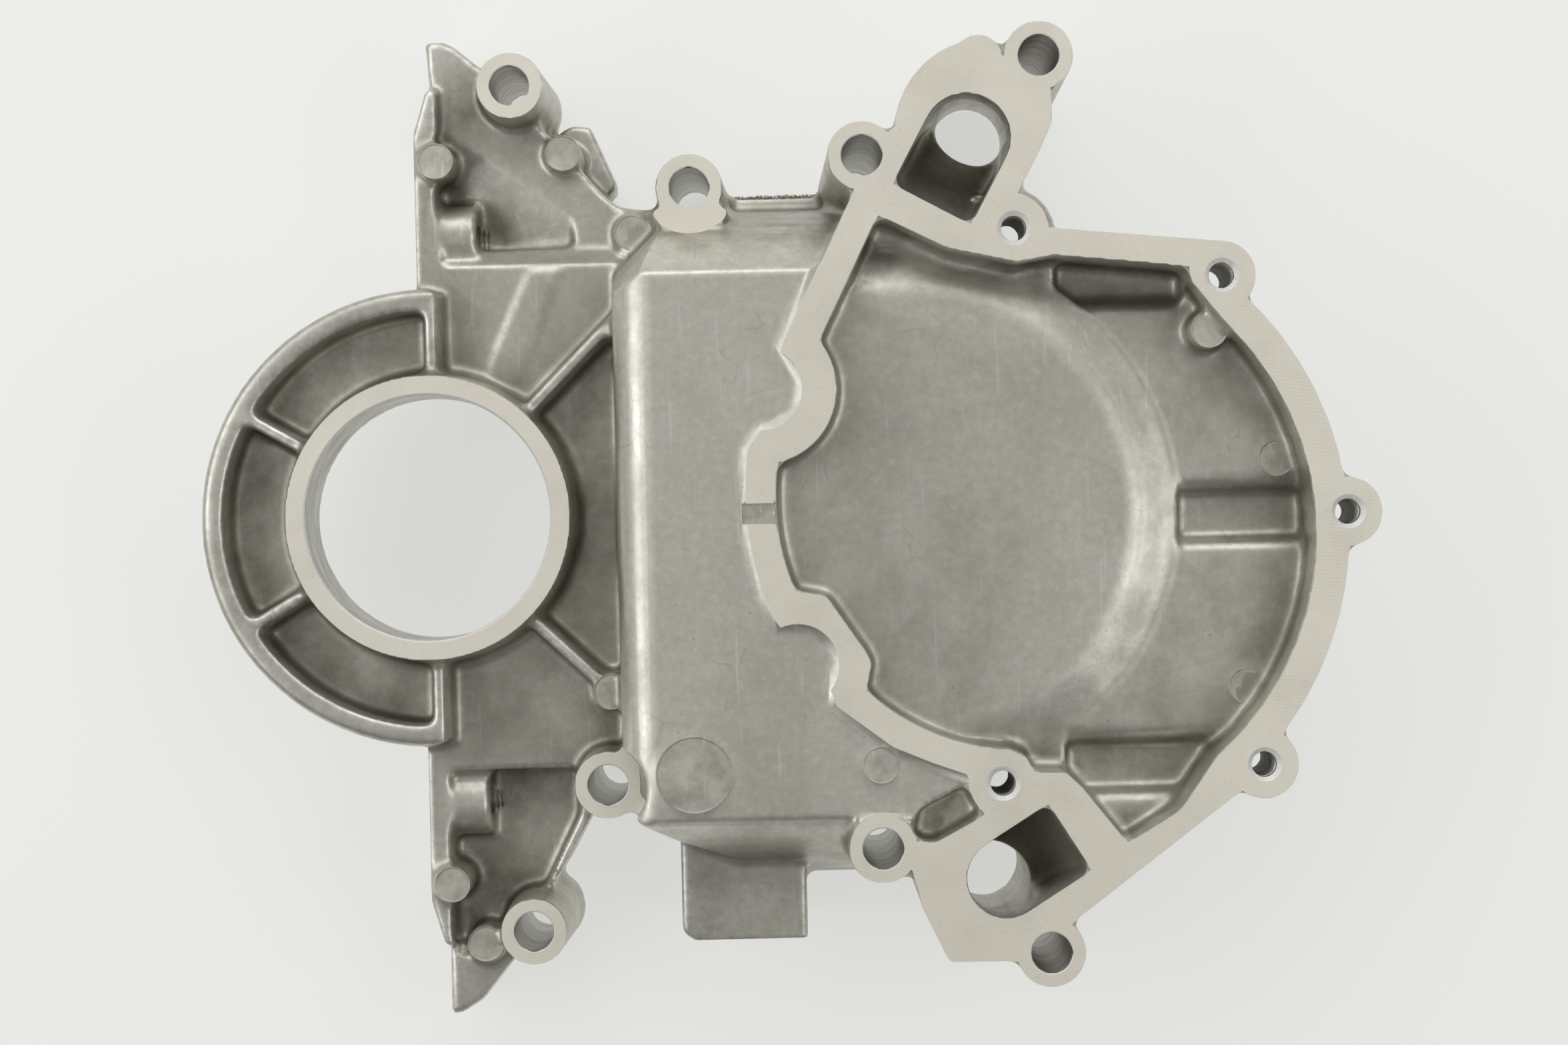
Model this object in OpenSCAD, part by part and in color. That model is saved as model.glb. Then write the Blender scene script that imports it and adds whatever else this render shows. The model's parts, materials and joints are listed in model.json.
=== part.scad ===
// Cast aluminium timing cover of a V8 engine. The water-pump face, the crank seal ring,
// the oil-pan half-round and the fuel-pump pad are all in the one casting.
// Millimetres. The crankshaft axis is the Z axis, z = 0 is the face that meets the block
// and +Z points to the front. +X points from the crankshaft to the camshaft.

/* [Main sizes] */
// Centre of the camshaft dome from the crankshaft axis
dome_x = 131; // [126:0.5:140]
// Reach of the upper ear from the crankshaft axis
ear_top_y = 134.4; // [132:0.5:140]
// Reach of the lower ear from the crankshaft axis
ear_low_y = 140.3; // [138:0.5:146]

/* [Levels above the block face] */
// Machined water-pump gasket face
pump_face_z = 68; // [62:0.5:76]
// Flat panel in front of the timing chain, a little below the pump face
panel_step = 0.8; // [0.3:0.1:2]
// Machined front of the crank seal ring
seal_front_z = 52; // [48:0.5:58]
// Tops of the half-round rim, the spokes and the stiffening ribs
rib_top_z = 48; // [44:0.5:50]
// Front of the lower plate around the seal ring
plate_z = 35; // [32:0.5:38]
// Front of the two ears
ear_z = 30; // [27:0.5:31]
// Deepest floor in the ears, beside the oil-pan bosses
ear_recess_z = 22; // [20:0.5:24]
// Front of the low gusset on the upper ear
gusset_z = 15; // [10:0.5:18]
// Slope of the upper ear down to that floor
ear_recess_slope = 26; // [15:1:45]
// Flat top of the camshaft dome in the pump pocket
dome_top_z = 60; // [58:0.5:61]
// Floor of the pump pocket around the dome
pocket_floor_z = 55; // [53:0.5:56]
// Floor of the three channels in the pump pocket
channel_floor_z = 50; // [48:0.5:51]
// Width of the rounded shoulders along the channels
channel_shoulder = 5; // [2:0.5:6]

/* [Walls] */
// Wall of the chain case and floor of the pump pocket
case_wall = 4.5; // [3.5:0.1:5.5]
// Wall around the ears
ear_wall = 5.5; // [4:0.1:7]
// Floor of the lower plate
plate_t = 4.5; // [3.5:0.1:6]

/* [Crank seal ring] */
// Bore that takes the crank seal
seal_bore_r = 33.4; // [32:0.1:34.5]
// Outside of the ring at its machined front
seal_ring_r = 39; // [38:0.1:40]
// Growth of the ring's radius from its front to the plate
seal_ring_draft = 1.4; // [0.5:0.1:3]
// Slanted foot between the ring and the plate
seal_ring_fillet = 2; // [1:0.1:3]
// Lead-in chamfer of the seal bore
seal_chamfer = 0.6; // [0.2:0.1:1]

/* [Oil-pan half-round] */
// Outside radius of the half-round
round_r = 63; // [61:0.1:66]
// Thickness of its rim
round_rim_t = 6; // [4:0.1:8]
// Broken front edge of the rim
round_edge = 1.5; // [0.5:0.1:2.5]
// Back edge of the rim above the block face
round_back_z = 24; // [18:0.5:28]
// Face of the oil-pan rails
rail_x = -4; // [-6:0.1:-2]
// Thickness of the oil-pan rails
rail_t = 6.5; // [5:0.1:8]
// Half length of the rails, from the crank axis to their outer ends
rail_end_y = 120; // [110:0.5:124]
// Length of the taper at the outer ends of the rails
rail_taper = 14; // [8:0.5:20]

/* [Plate ribs] */
// Width of a rib at its top
rib_top_w = 3; // [2:0.1:4]
// Growth of a rib's width from its top to its foot
rib_draft = 2; // [0.5:0.1:3]
// Height of the shallow ridge on the plate
ridge_h = 0.8; // [0.5:0.1:3]

/* [Chain case] */
// Inner half width of the case below the lower plate
case_half_w = 60; // [58:0.5:61]
// Step from the lower plate down to the ears, from the crank axis
plate_step_y = 70; // [68:0.5:72]
// Left wall of the case, next to the lower plate
case_left_x = 52; // [50:0.5:54]
// Radius of the rounded edge between left wall and panel
case_edge_r = 10.5; // [6:0.5:14]
// Upper edge of the flat panel
panel_top_y = 63.5; // [60:0.5:66]
// Foot of the sloped wall above the panel
case_top_y = 87; // [85:0.5:88]
// Edge of the slanted corner at the panel, from the crank axis across the corner
case_corner_edge = 2.5; // [1:0.5:4]
// Foot of the slanted corner at the block face, from the crank axis across the corner
case_corner_foot = 13; // [11:0.5:15]
// Edge of the gasket flange above the case
top_flange_y = 91.5; // [90:0.5:93]
// Thickness of that flange
top_flange_t = 8; // [6:0.5:12]
// Lower edge of the flat panel
panel_low_y = -82.3; // [-84:0.1:-80]
// Foot of the sloped wall below the panel
case_low_y = -105; // [-107:0.5:-100]
// Radius of the camshaft dome at its foot
dome_r = 73; // [71:0.5:74]
// Width of the slope around the dome
dome_slope = 10; // [6:0.5:11]
// Width of the gasket flange around the camshaft arch
arch_flange_w = 6; // [4:0.5:9]
// Thickness of the gasket flange around the camshaft arch
arch_flange_t = 8; // [6:0.5:12]

/* [Pump flange] */
// Outside radius of the round part of the pump flange
pump_rim_r = 87.1; // [86:0.1:89]
// Width of the gasket rim
pump_rim_w = 9; // [7:0.1:10]
// Depth of the pump flange behind its face
pump_flange_t = 23; // [22:0.5:26]
// Bolt-head notch in the gasket web
web_notch_r = 11; // [10:0.1:12]
// Front of the low web between the panel and the lower port
web_fill_z = 59; // [56:0.5:62]
// Width of the gasket web round the upper notch
web_w = 9.3; // [8:0.1:10]

/* [Water ports] */
// Half width of the upper port at the pump face
upper_port_r = 11.6; // [10:0.1:12.5]
// Half width of the lower port at the pump face
lower_port_r = 10.4; // [9:0.1:11.5]
// Straight length of the ports at the pump face
port_len = 20; // [16:0.5:22]
// Radius of the water hole at the block face
water_hole_r = 10.2; // [8:0.1:10.6]
// Front of the round boss behind the upper water hole
water_boss_z = 48; // [40:0.5:54]
// Wall of that boss at the block face
water_boss_t = 9; // [6:0.5:10]
// Level where the lower tower grows wider
tower_step_z = 25; // [20:0.5:30]
// Front of the collar behind the neck tapping
neck_collar_z = 58; // [50:0.5:62]
// Growth of that collar beyond the tapping's metal
neck_collar_t = 3; // [1:0.5:4]
// Slope of the port floors
port_slope = 56; // [45:1:65]

/* [Bolt bosses] */
// Radius of a bolt boss at its machined face
boss_r = 9.2; // [8.5:0.1:10]
// Growth of a boss's radius down to the block face
boss_draft = 1.4; // [0:0.1:2]
// Radius of the through holes
bolt_hole_r = 5.4; // [4.5:0.1:6]
// Face of the bosses at the ends of the ears
ear_boss_z = 44; // [40:0.5:48]
// Face of the boss above the panel
case_boss_top_z = 49; // [46:0.5:52]
// Face of the boss below the plate
case_boss_low_z = 53; // [50:0.5:56]
// Radius of the milled seat round the lower case boss
spot_face_r = 11.3; // [10:0.1:13]
// Radius of the milled seat round the upper case boss
spot_face_top_r = 12.9; // [10.5:0.1:14]

/* [Tapped holes] */
// Minor radius of the tapped holes
tap_r = 3.3; // [2.8:0.1:3.6]
// Radius of the countersink at the mouth of a pump tapping
tap_mouth_r = 4.6; // [4:0.1:5]
// Radius of the metal round a pump tapping
tap_boss_r = 9.2; // [8:0.1:10]
// Radius of the oil-pan bolt bosses
pan_boss_r = 9.3; // [8:0.1:10]
// Height of the oil-pan bolt axes above the block face
pan_boss_z = 25; // [23:0.5:26]
// Length of the oil-pan bolt bosses from the rail face
pan_boss_len = 16.5; // [12:0.5:20]

/* [Fuel-pump pad] */
// Left side of the pad
pad_left_x = 66.5; // [65:0.5:70]
// Width of the pad
pad_w = 34.5; // [30:0.5:36]
// Machined face of the pad
pad_face_y = -118; // [-124:0.5:-114]
// Front of the pad above the block face
pad_front_z = 46; // [42:0.5:50]
// Rounding of its lower left corner
pad_corner_r = 4; // [2:0.5:6]
// Size of the pump-arm window across the engine
pad_window_w = 20; // [16:0.5:22]
// Size of the pump-arm window along the engine
pad_window_h = 17; // [12:0.5:18]
// Distance between the two pad bolts
pad_bolt_gap = 31; // [29:0.5:32]
// Depth of the pad bolt tappings
pad_bolt_depth = 14; // [8:0.5:16]

/* [Ejector marks] */
// Radius of the small ejector studs
stud_r = 5; // [4:0.1:6]
// Radius of the large ejector disc on the panel
disc_r = 10.3; // [8:0.1:11]
// Height of the flush marks above the cast surface
mark_h = 0.5; // [0.2:0.1:1]

/* [Hidden] */
$fn = 64;
// Overlap that makes touching features one solid, and overrun of a cut
lap = 1;
panel_z = pump_face_z - panel_step;
flange_back_z = pump_face_z - pump_flange_t;
case_inner_z = panel_z - case_wall;
plate_back_z = plate_z - plate_t;
ear_back_z = ear_recess_z - plate_t;
// Camshaft dome
dome_c = [dome_x, -2];
dome_top_r = dome_r - dome_slope;
// Arcs of the pump face and its notches, from the centre of the dome
rim_c = [29.3, -6.6];
rim_in_r = pump_rim_r - pump_rim_w;
rim_angles = [42, -38];
rim_in_angles = [-50, 44];
web_arc_c = [41.4, 5.9];
web_arc_r = 85.3;
web_arc_angles = [202.8, 171.9];
web_in_c = [27.9, 4];
web_in_r = 63.7;
web_in_angles = [170.5, 202];
low_arc_c = [28.9, -3];
low_arc_r = 60.5;
low_arc_angles = [227, 266];
notch_top = [-39.2, 34];
notch_low = [-31.1, -39.7];
notch_angles = [38, -73];
upper_lobe_c = [22.7, 101.2];
upper_lobe_r = 24.6;
upper_lobe_angles = [176, 105];
upper_lug_c = [20.7, 120.7];
upper_lug_r = 6.2;
// Tapped holes in the pump face, clockwise from the upper port, from the centre of the dome
tap_neck = [29.1, 75.1];
tap_upper = [84, 61.3];
tap_side = [116.1, -2.3];
tap_lower = [92.3, -69];
tap_web = [22.7, -72.4];
taps = [tap_neck, tap_upper, tap_side, tap_lower, tap_web];
// Bolts beside the two water ports, from the centre of the dome
port_bolt_top = [-10.9, 95.4];
port_bolt_low = [-9.6, -89];
crown_bolt_top = [36.8, 120.9];
crown_bolt_low = [34.5, -117.7];
// Straight corners of the pump face between its arcs, from the centre of the dome
crown_corners = [[39.9, 111.1], [40.1, 103.5]];
neck_corners = [[36.5, 95.6], [30.4, 84.6]];
low_corners = [[40.3, -109.9]];
tower_corners = [[25.9, -119.8], [7.3, -119.7], [4.8, -114.3], [0.6, -105.4], [-2, -95]];
web_corners = [
    [1, -87], [4, -87.6], [17.5, -80.5], [13, -69.7], [4.2, -66.5], [-6.3, -62],
    [-21.1, -50.8], [-22.1, -47.3], [-37.3, -27.1]
];
notch_corners = [[-39.7, 22.6], [-33.3, 45.1], [-31.9, 48.6]];
// Corners of the pump pocket between its arcs, from the centre of the dome
pocket_top = [-6.9, 79.3];
pocket_web = [[-25.7, -20.8], [-23, -21.4], [-12.8, -36.5], [-11.4, -39.6], [-13, -47]];
pocket_low = [
    [29, -65.3], [31.1, -69.5], [39.5, -69.7], [43.9, -74], [55.4, -88.8], [69.4, -80.5]
];
pocket_rim = [
    [81.5, 52.4], [75.5, 60.1], [75.4, 63.7], [39.4, 67.6], [29.6, 66], [11.1, 70.2]
];
// Channels in the pocket and relief behind it, as [corner, size] from the centre of the dome
channels = [[[41, 56.5], [34.5, 12]], [[71, -8.5], [40, 12.5]], [[41, -76], [46, 12.2]]];
relief_corner = [0, -58];
relief_size = [120, 110];
// Plans of the towers under the water ports, from the centre of the dome
upper_tower = [[-19, 68], [-19, 134], [43, 134], [43, 86], [19, 86], [11, 68]];
lower_tower = [[-19, -128], [55, -128], [55, -80], [-19, -80]];
lower_tower_foot = [[-19, -128], [55, -128], [55, -94], [35, -85], [-19, -85]];
low_web = [[-7, -72], [11, -64], [21, -82], [5, -90]];
// Round ends and directions of the water ports, and their holes in the block face
upper_port_c = [17.1, 99.6];
upper_port_turn = 61.3;
upper_hole = [22.2, 108.4];
lower_port_c = [22.9, -97.6];
lower_port_turn = 211.7;
lower_hole = [22, -102.5];
// Shallow key notch across the gasket web, from the centre of the dome
key_corner = [-44, -1.9];
key_size = [8.6, 5.5];
key_depth = 1.5;
// Through bolts, as [place, height of the machined face]
ear_bolt_top = [24.2, 118.8];
ear_bolt_low = [25.4, -114.9];
case_bolt_top = [73.3, 88.8];
case_bolt_low = [47.5, -73.9];
bolts = [
    [ear_bolt_top, ear_boss_z],
    [ear_bolt_low, ear_boss_z],
    [case_bolt_top, case_boss_top_z],
    [case_bolt_low, case_boss_low_z],
    [dome_c + port_bolt_top, pump_face_z],
    [dome_c + port_bolt_low, pump_face_z],
    [dome_c + crown_bolt_top, pump_face_z],
    [dome_c + crown_bolt_low, pump_face_z]
];
// Oil-pan bolts on the two rails
pan_bolt_y = [79, -80.6];
// Plans of the chain case and of its hollow, left part from the crank axis, right part from the dome
case_low_corners = [[104, case_low_y], [100, -101.5], [83, -96], [66, -88.5], [58, -84]];
case_right_corners = [[-5, -28], [15, -58], [16, -71], [0, -79], [-5, -101]];
hollow_left = [[case_left_x, -74], [case_left_x, 60], [64, 70], [82, 82]];
hollow_right = [[-23, 84], [-35, 58], [-49, 18], [-49, -10], [-27, -54], [-9, -66], [-13, -98]];
hollow_low = [[102, -100], [70, -85], [60, -80]];
top_flange_x = -18;
// Free edges of the ears, from their tips to the case
upper_ear_edge = [[7.2, 132.9], [14.2, 127]];
upper_ear_side = [[31.1, 109.7], [42, 97.6], [48.4, 90.1], [52.1, 87], [56, 86], [66, 85.2], [72, 84]];
lower_ear_edge = [[3.3, -139.8], [9.1, -136.2], [17.8, -125.5]];
lower_ear_side = [[27.6, -107.5], [33.1, -99.1], [40.8, -85]];
lower_recess = [[37.5, -85], [28, -104], [17, -112], [9, -124]];
gusset_plan = [[32, 106], [36.2, 111.2], [38.8, 112.5], [44, 112], [50.7, 96.4], [50.6, 93.5], [46, 91]];
ridge_plan = [[27.8, 68], [35.6, 68], [23.7, 40], [16.5, 42.5]];
// Diagonal upper edge of the recess in the upper ear
recess_start_y = 111;
recess_end = [40, 84];
// Spokes, braces and ridge on the lower plate
spoke_angles = [150, 210];
brace_angle = 46.5;
brace_top_y = 54.5;
brace_stud = [48.7, -48.9];
rail_rib_x = 1.3;
rail_tip_x = -0.5;
rail_edge = 2.5;
ridge_end_c = [20.1, 41.3];
ridge_end_r = 3.8;
// Start of the milled shoulder below the axis of the upper case boss
shoulder_drop = 6.5;
// Ejector studs, as [place, foot, top], and the large disc on the panel
stud_h = 4;
studs = [
    [[2.6, 99.2], ear_back_z, plate_z + stud_h],
    [[2.5, -102.1], ear_back_z, plate_z + stud_h],
    [[37.6, 101.4], ear_back_z, ear_z + stud_h],
    [[56.5, 78.6], ear_back_z, ear_z + stud_h],
    [brace_stud, plate_back_z, rib_top_z],
    [[10.7, -119.7], ear_back_z, ear_z + stud_h],
    [dome_c + [-9.6, -66.8], case_inner_z, panel_z + mark_h],
    [dome_c + [81, 47.2], flange_back_z, pump_face_z - stud_h],
    [dome_c + [99.9, 12.6], channel_floor_z, pocket_floor_z + mark_h],
    [dome_c + [90.5, -48.9], channel_floor_z, pocket_floor_z + mark_h]
];
disc_c = [71.7, -70.2];
// Length that runs past the casting on every side
reach = 400;
// Number of straight steps in a drawn arc
arc_steps = 14;
// Straight steps of the rounded channel shoulders
shoulder_steps = 4;
// Start of the elliptic slope of the case walls, as an angle from the top of the ellipse
slope_start = 25;

// Point at an angle on a circle
function polar(centre, r, angle) = centre + r * [cos(angle), sin(angle)];
// Points along an arc between two angles
function span(centre, r, angles) =
    [for (i = [0:arc_steps]) polar(centre, r, angles[0] + (angles[1] - angles[0]) * i / arc_steps)];
// Convex wall from the panel's edge at the top down to its foot on the block face
function wall_curve(edge, foot, top) = [
    for (i = [0:arc_steps])
        let (t = slope_start + (90 - slope_start) * i / arc_steps,
             share = (sin(t) - sin(slope_start)) / (1 - sin(slope_start)))
        [edge + (foot - edge) * share, top * cos(t) / cos(slope_start)]
];
function reversed(list) = [for (i = [len(list) - 1:-1:0]) list[i]];

// Section of the chain case across the engine, inset by the wall for its inside
module case_section(inset) {
    top = panel_z - inset;
    polygon(concat(
        wall_curve(panel_top_y - inset / 2, case_top_y - inset, top),
        reversed(wall_curve(panel_low_y + inset / 2, case_low_y + inset, top))
    ));
}

// Section of the chain case along the engine, with the rounded edge over the lower plate
module case_edge_section(inset) {
    left = case_left_x + inset;
    top = panel_z - inset;
    r = case_edge_r - inset / 2;
    difference() {
        translate([left, -lap]) square([reach, top + lap]);
        difference() {
            translate([left - lap, top - r]) square([r + lap, r + lap]);
            translate([left + r, top - r]) circle(r);
        }
    }
}

// Section of the slanted corner over the upper end of the left wall
module case_corner_section(inset) {
    top = panel_z - inset;
    polygon(concat(
        wall_curve(case_corner_edge - inset / 2, case_corner_foot - inset, top),
        [[-reach, 0], [-reach, top]]
    ));
}

// Points moved from the centre of the dome to the crank axis
function from_dome(points) = [for (point = points) dome_c + point];

// Plan of the chain case
module case_plan() {
    left = case_left_x - lap;
    right = from_dome(case_right_corners);
    polygon(concat(
        [[left, case_low_corners[4][1] + case_wall], [left, case_top_y], [right[0][0], case_top_y]],
        right, [[right[0][0], case_low_y]], case_low_corners
    ));
}

// Plan of the hollow behind the flat panel
module case_hollow_plan() {
    polygon(concat(hollow_left, from_dome(hollow_right), hollow_low));
}

// Solid or hollow of the chain case under the panel, by its inset
module case_form(inset) {
    intersection() {
        rotate([90, 0, 90]) linear_extrude(reach) case_section(inset);
        translate([0, reach / 2, 0]) rotate([90, 0, 0]) linear_extrude(reach) case_edge_section(inset);
        rotate(45) rotate([90, 0, 90]) translate([0, 0, -reach]) linear_extrude(2 * reach)
            case_corner_section(inset);
        children();
    }
}

// Camshaft arch with its sloped dome
module cam_arch() {
    translate([dome_c[0], dome_c[1], 0]) {
        cylinder(h = pocket_floor_z, r = dome_r);
        dome_cap();
        cylinder(h = arch_flange_t, r = dome_r + arch_flange_w);
    }
}

// Slope and flat top of the dome
module dome_cap() {
    translate([0, 0, pocket_floor_z - lap])
        cylinder(h = lap, r = dome_r);
    translate([0, 0, pocket_floor_z])
        cylinder(h = dome_top_z - pocket_floor_z, r1 = dome_r, r2 = dome_top_r);
}

// Hollow of the camshaft arch, open to the block
module cam_hollow() {
    cone_z = pocket_floor_z - case_wall;
    translate([dome_c[0], dome_c[1], -lap]) {
        cylinder(h = cone_z + lap, r = dome_r - case_wall);
        translate([0, 0, cone_z + lap])
            cylinder(h = dome_top_z - pocket_floor_z, r1 = dome_r - case_wall, r2 = dome_top_r - case_wall);
    }
}

// Outer edge of the pump gasket face, with the web between panel and pocket
module pump_outline() {
    translate(dome_c) difference() {
        union() {
            polygon(concat(
                [port_bolt_top - [pump_rim_w / 4, boss_r], port_bolt_top],
                span(upper_lobe_c, upper_lobe_r, upper_lobe_angles),
                [crown_bolt_top - [boss_r, 0], crown_bolt_top], crown_corners, neck_corners,
                [tap_neck, tap_neck + [tap_boss_r, 0], tap_upper + [0, tap_boss_r], tap_upper],
                span(rim_c, pump_rim_r, rim_angles),
                [tap_lower, tap_lower + tap_boss_r * [cos(228), sin(228)]], low_corners, [crown_bolt_low],
                tower_corners, [port_bolt_low], web_corners,
                span(web_arc_c, web_arc_r, web_arc_angles), notch_corners
            ));
            for (tap = taps) translate(tap) circle(tap_boss_r);
            translate(upper_lug_c) circle(upper_lug_r);
        }
        translate(notch_top) circle(web_notch_r);
        translate(notch_low) circle(web_notch_r);
    }
}

// Inner edge of the gasket rim round the pump pocket
module pocket_outline() {
    translate(dome_c) polygon(concat(
        [pocket_top],
        span(notch_top, web_notch_r + web_w, notch_angles),
        span(web_in_c, web_in_r, web_in_angles), pocket_web,
        span(low_arc_c, low_arc_r, low_arc_angles), pocket_low,
        span(rim_c, rim_in_r, rim_in_angles), pocket_rim
    ));
}

// Flat channels in the floor of the pump pocket
module channel_plan() {
    intersection() {
        pocket_outline();
        for (channel = channels) translate(dome_c + channel[0]) square(channel[1]);
    }
}

// Shoulder of a channel, rounded from its floor up to the pocket floor
function shoulder_curve(side) = [
    for (i = [0:shoulder_steps])
        let (t = 90 * i / shoulder_steps)
        [side * channel_shoulder * (1 - cos(t)), channel_floor_z + (pocket_floor_z - channel_floor_z) * sin(t)]
];

// Section of a channel of one width, with its two shoulders
module channel_section(width) {
    lip = channel_shoulder;
    top = pocket_floor_z + lap;
    polygon(concat(
        [[-lip, top]], reversed(shoulder_curve(-1)),
        [for (point = shoulder_curve(1)) point + [width, 0]], [[width + lip, top]]
    ));
}

// Channels cut down from the pocket floor
module channel_cuts() {
    intersection() {
        translate([0, 0, channel_floor_z - lap]) linear_extrude(pump_flange_t) pocket_outline();
        for (channel = channels) translate([dome_c[0] + channel[0][0], dome_c[1] + channel[0][1], 0])
            rotate([90, 0, 90]) linear_extrude(channel[1][0]) channel_section(channel[1][1]);
    }
}

// Pump pocket with the dome standing in it
module pump_pocket() {
    difference() {
        union() {
            translate([0, 0, pocket_floor_z]) linear_extrude(pump_flange_t) pocket_outline();
            channel_cuts();
        }
        translate([dome_c[0], dome_c[1], 0]) {
            cylinder(h = pocket_floor_z, r = dome_r);
            dome_cap();
        }
    }
}

// Relief behind the pocket floor that keeps the flange an even wall
module flange_relief() {
    translate([0, 0, flange_back_z - lap]) linear_extrude(pocket_floor_z - case_wall - flange_back_z + lap)
        difference() {
            intersection() {
                offset(delta = -case_wall) pocket_outline();
                translate(dome_c + relief_corner) square(relief_size);
            }
            translate(dome_c) circle(dome_r + lap);
            offset(delta = case_wall) channel_plan();
        }
}

// Part of the pump face that reaches down to a level, inside a plan
module tower(plan, low, high) {
    translate([0, 0, low]) linear_extrude(high - low) intersection() {
        pump_outline();
        polygon(from_dome(plan));
    }
}

// Towers that carry the water ports from the pump face down to the block
module port_towers() {
    boss_foot_r = water_hole_r + water_boss_t;
    tower(upper_tower, 0, pump_face_z);
    tower(lower_tower, tower_step_z, pump_face_z);
    tower(lower_tower_foot, 0, tower_step_z + lap);
    translate([dome_c[0], dome_c[1], 0]) {
        translate([upper_hole[0], upper_hole[1], 0])
            cylinder(h = water_boss_z, r1 = boss_foot_r, r2 = boss_foot_r - boss_draft);
        translate([tap_neck[0], tap_neck[1], flange_back_z])
            cylinder(h = neck_collar_z - flange_back_z, r = tap_boss_r + neck_collar_t);
    }
}

// Gasket flange above the case and shoulder that is milled flush with the upper case boss
module top_flange() {
    end = dome_c[0] + top_flange_x;
    linear_extrude(top_flange_t) polygon([
        case_bolt_top, case_bolt_top + [boss_r, top_flange_y - case_bolt_top[1]], [end, top_flange_y],
        dome_c + port_bolt_top, [end, panel_top_y], [case_bolt_top[0], panel_top_y]
    ]);
    translate([case_bolt_top[0], case_bolt_top[1], 0]) intersection() {
        cylinder(h = case_boss_top_z, r = spot_face_top_r);
        translate([-spot_face_top_r, -2 * spot_face_top_r - shoulder_drop, 0])
            cube([2 * spot_face_top_r, 2 * spot_face_top_r, case_boss_top_z]);
    }
}

// Low web between the panel and the lower port
module web_fill() {
    linear_extrude(web_fill_z) polygon(from_dome(concat(low_web, [port_bolt_low])));
}

// Round-ended port with a floor that slopes into the water hole
module port(centre, turn, r, hole) {
    translate([centre[0], centre[1], 0]) rotate(turn) difference() {
        union() {
            cylinder(h = pump_face_z + lap, r = r);
            translate([-port_len, -r, 0]) cube([port_len, 2 * r, pump_face_z + lap]);
        }
        translate([-port_len, -r - lap, pump_face_z - pump_rim_w]) rotate([0, port_slope, 0])
            translate([-pump_face_z, 0, -pump_face_z]) cube([3 * pump_face_z, 2 * r + 2 * lap, pump_face_z]);
    }
    translate([hole[0], hole[1], -lap]) cylinder(h = pump_face_z - pump_rim_w, r = water_hole_r);
}

// Straight rib with sloped sides between two points
module rib(from, to, foot_z, top_z) {
    run = to - from;
    length = norm(run);
    half_top = rib_top_w / 2;
    half_foot = half_top + rib_draft / 2;
    translate([from[0], from[1], 0]) rotate([90, 0, atan2(run[1], run[0]) - 90])
        translate([0, 0, -length]) linear_extrude(length)
            polygon([[-half_foot, foot_z], [half_foot, foot_z], [half_top, top_z], [-half_top, top_z]]);
}

// Seal ring with its drafted outside
module seal_ring() {
    foot = seal_ring_r + seal_ring_draft;
    rotate_extrude() polygon([
        [seal_bore_r - lap, plate_back_z], [foot + seal_ring_fillet, plate_back_z],
        [foot + seal_ring_fillet, plate_z], [foot, plate_z + seal_ring_fillet],
        [seal_ring_r, seal_front_z], [seal_bore_r - lap, seal_front_z]
    ]);
}

// Seal bore with a chamfer at each end
module seal_bore() {
    translate([0, 0, plate_back_z - lap]) cylinder(h = seal_front_z - plate_back_z + 2 * lap, r = seal_bore_r);
    translate([0, 0, seal_front_z - seal_chamfer])
        cylinder(h = seal_chamfer + lap, r1 = seal_bore_r, r2 = seal_bore_r + seal_chamfer + lap);
}

// Lower plate with the half disc under the crank
module lower_plate() {
    translate([0, 0, plate_back_z]) linear_extrude(plate_t) union() {
        intersection() {
            circle(round_r - lap);
            translate([-round_r, -round_r]) square([round_r + lap, 2 * round_r]);
        }
        translate([0, -plate_step_y]) square([case_left_x + 2 * lap, 2 * plate_step_y]);
    }
}

// Half-round rim that carries the front seal of the oil pan
module half_round_rim() {
    rotate(90) rotate_extrude(angle = 180) polygon([
        [round_r - round_rim_t, round_back_z], [round_r, round_back_z], [round_r, rib_top_z - round_edge],
        [round_r - round_edge, rib_top_z], [round_r - round_rim_t, rib_top_z]
    ]);
}

// Spokes and ribs round the seal ring
module plate_ribs() {
    inner = seal_ring_r - lap;
    outer = round_r - lap - round_rim_t / 2;
    foot = plate_z - lap;
    for (angle = spoke_angles)
        rib(polar([0, 0], inner, angle), polar([0, 0], outer, angle), foot, rib_top_z);
    for (side = [-1, 1])
        rib([rail_rib_x, side * inner], [rail_rib_x, side * (round_r - lap)], foot, rib_top_z);
    rib(polar([0, 0], inner, brace_angle), [case_left_x + lap, brace_top_y], foot, rib_top_z);
    rib(polar([0, 0], inner, -brace_angle), brace_stud, foot, rib_top_z);
}

// Shallow slanted ridge on the lower plate
module plate_ridge() {
    translate([0, 0, plate_z - lap]) linear_extrude(ridge_h + lap) {
        polygon(ridge_plan);
        translate(ridge_end_c) circle(ridge_end_r);
    }
}

// Outline of the upper ear
module upper_ear_plan() {
    polygon(concat(
        [[0, case_half_w], [0, rail_end_y], [-lap, ear_top_y], [rail_t - rail_edge, ear_top_y]], upper_ear_edge,
        [ear_bolt_top + [boss_r, boss_r] / 2], upper_ear_side, [[upper_ear_side[5][0], case_half_w]]
    ));
    translate(ear_bolt_top) circle(boss_r);
}

// Low gusset on the edge of the upper ear
module ear_gusset() {
    linear_extrude(gusset_z) polygon(gusset_plan);
}

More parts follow.
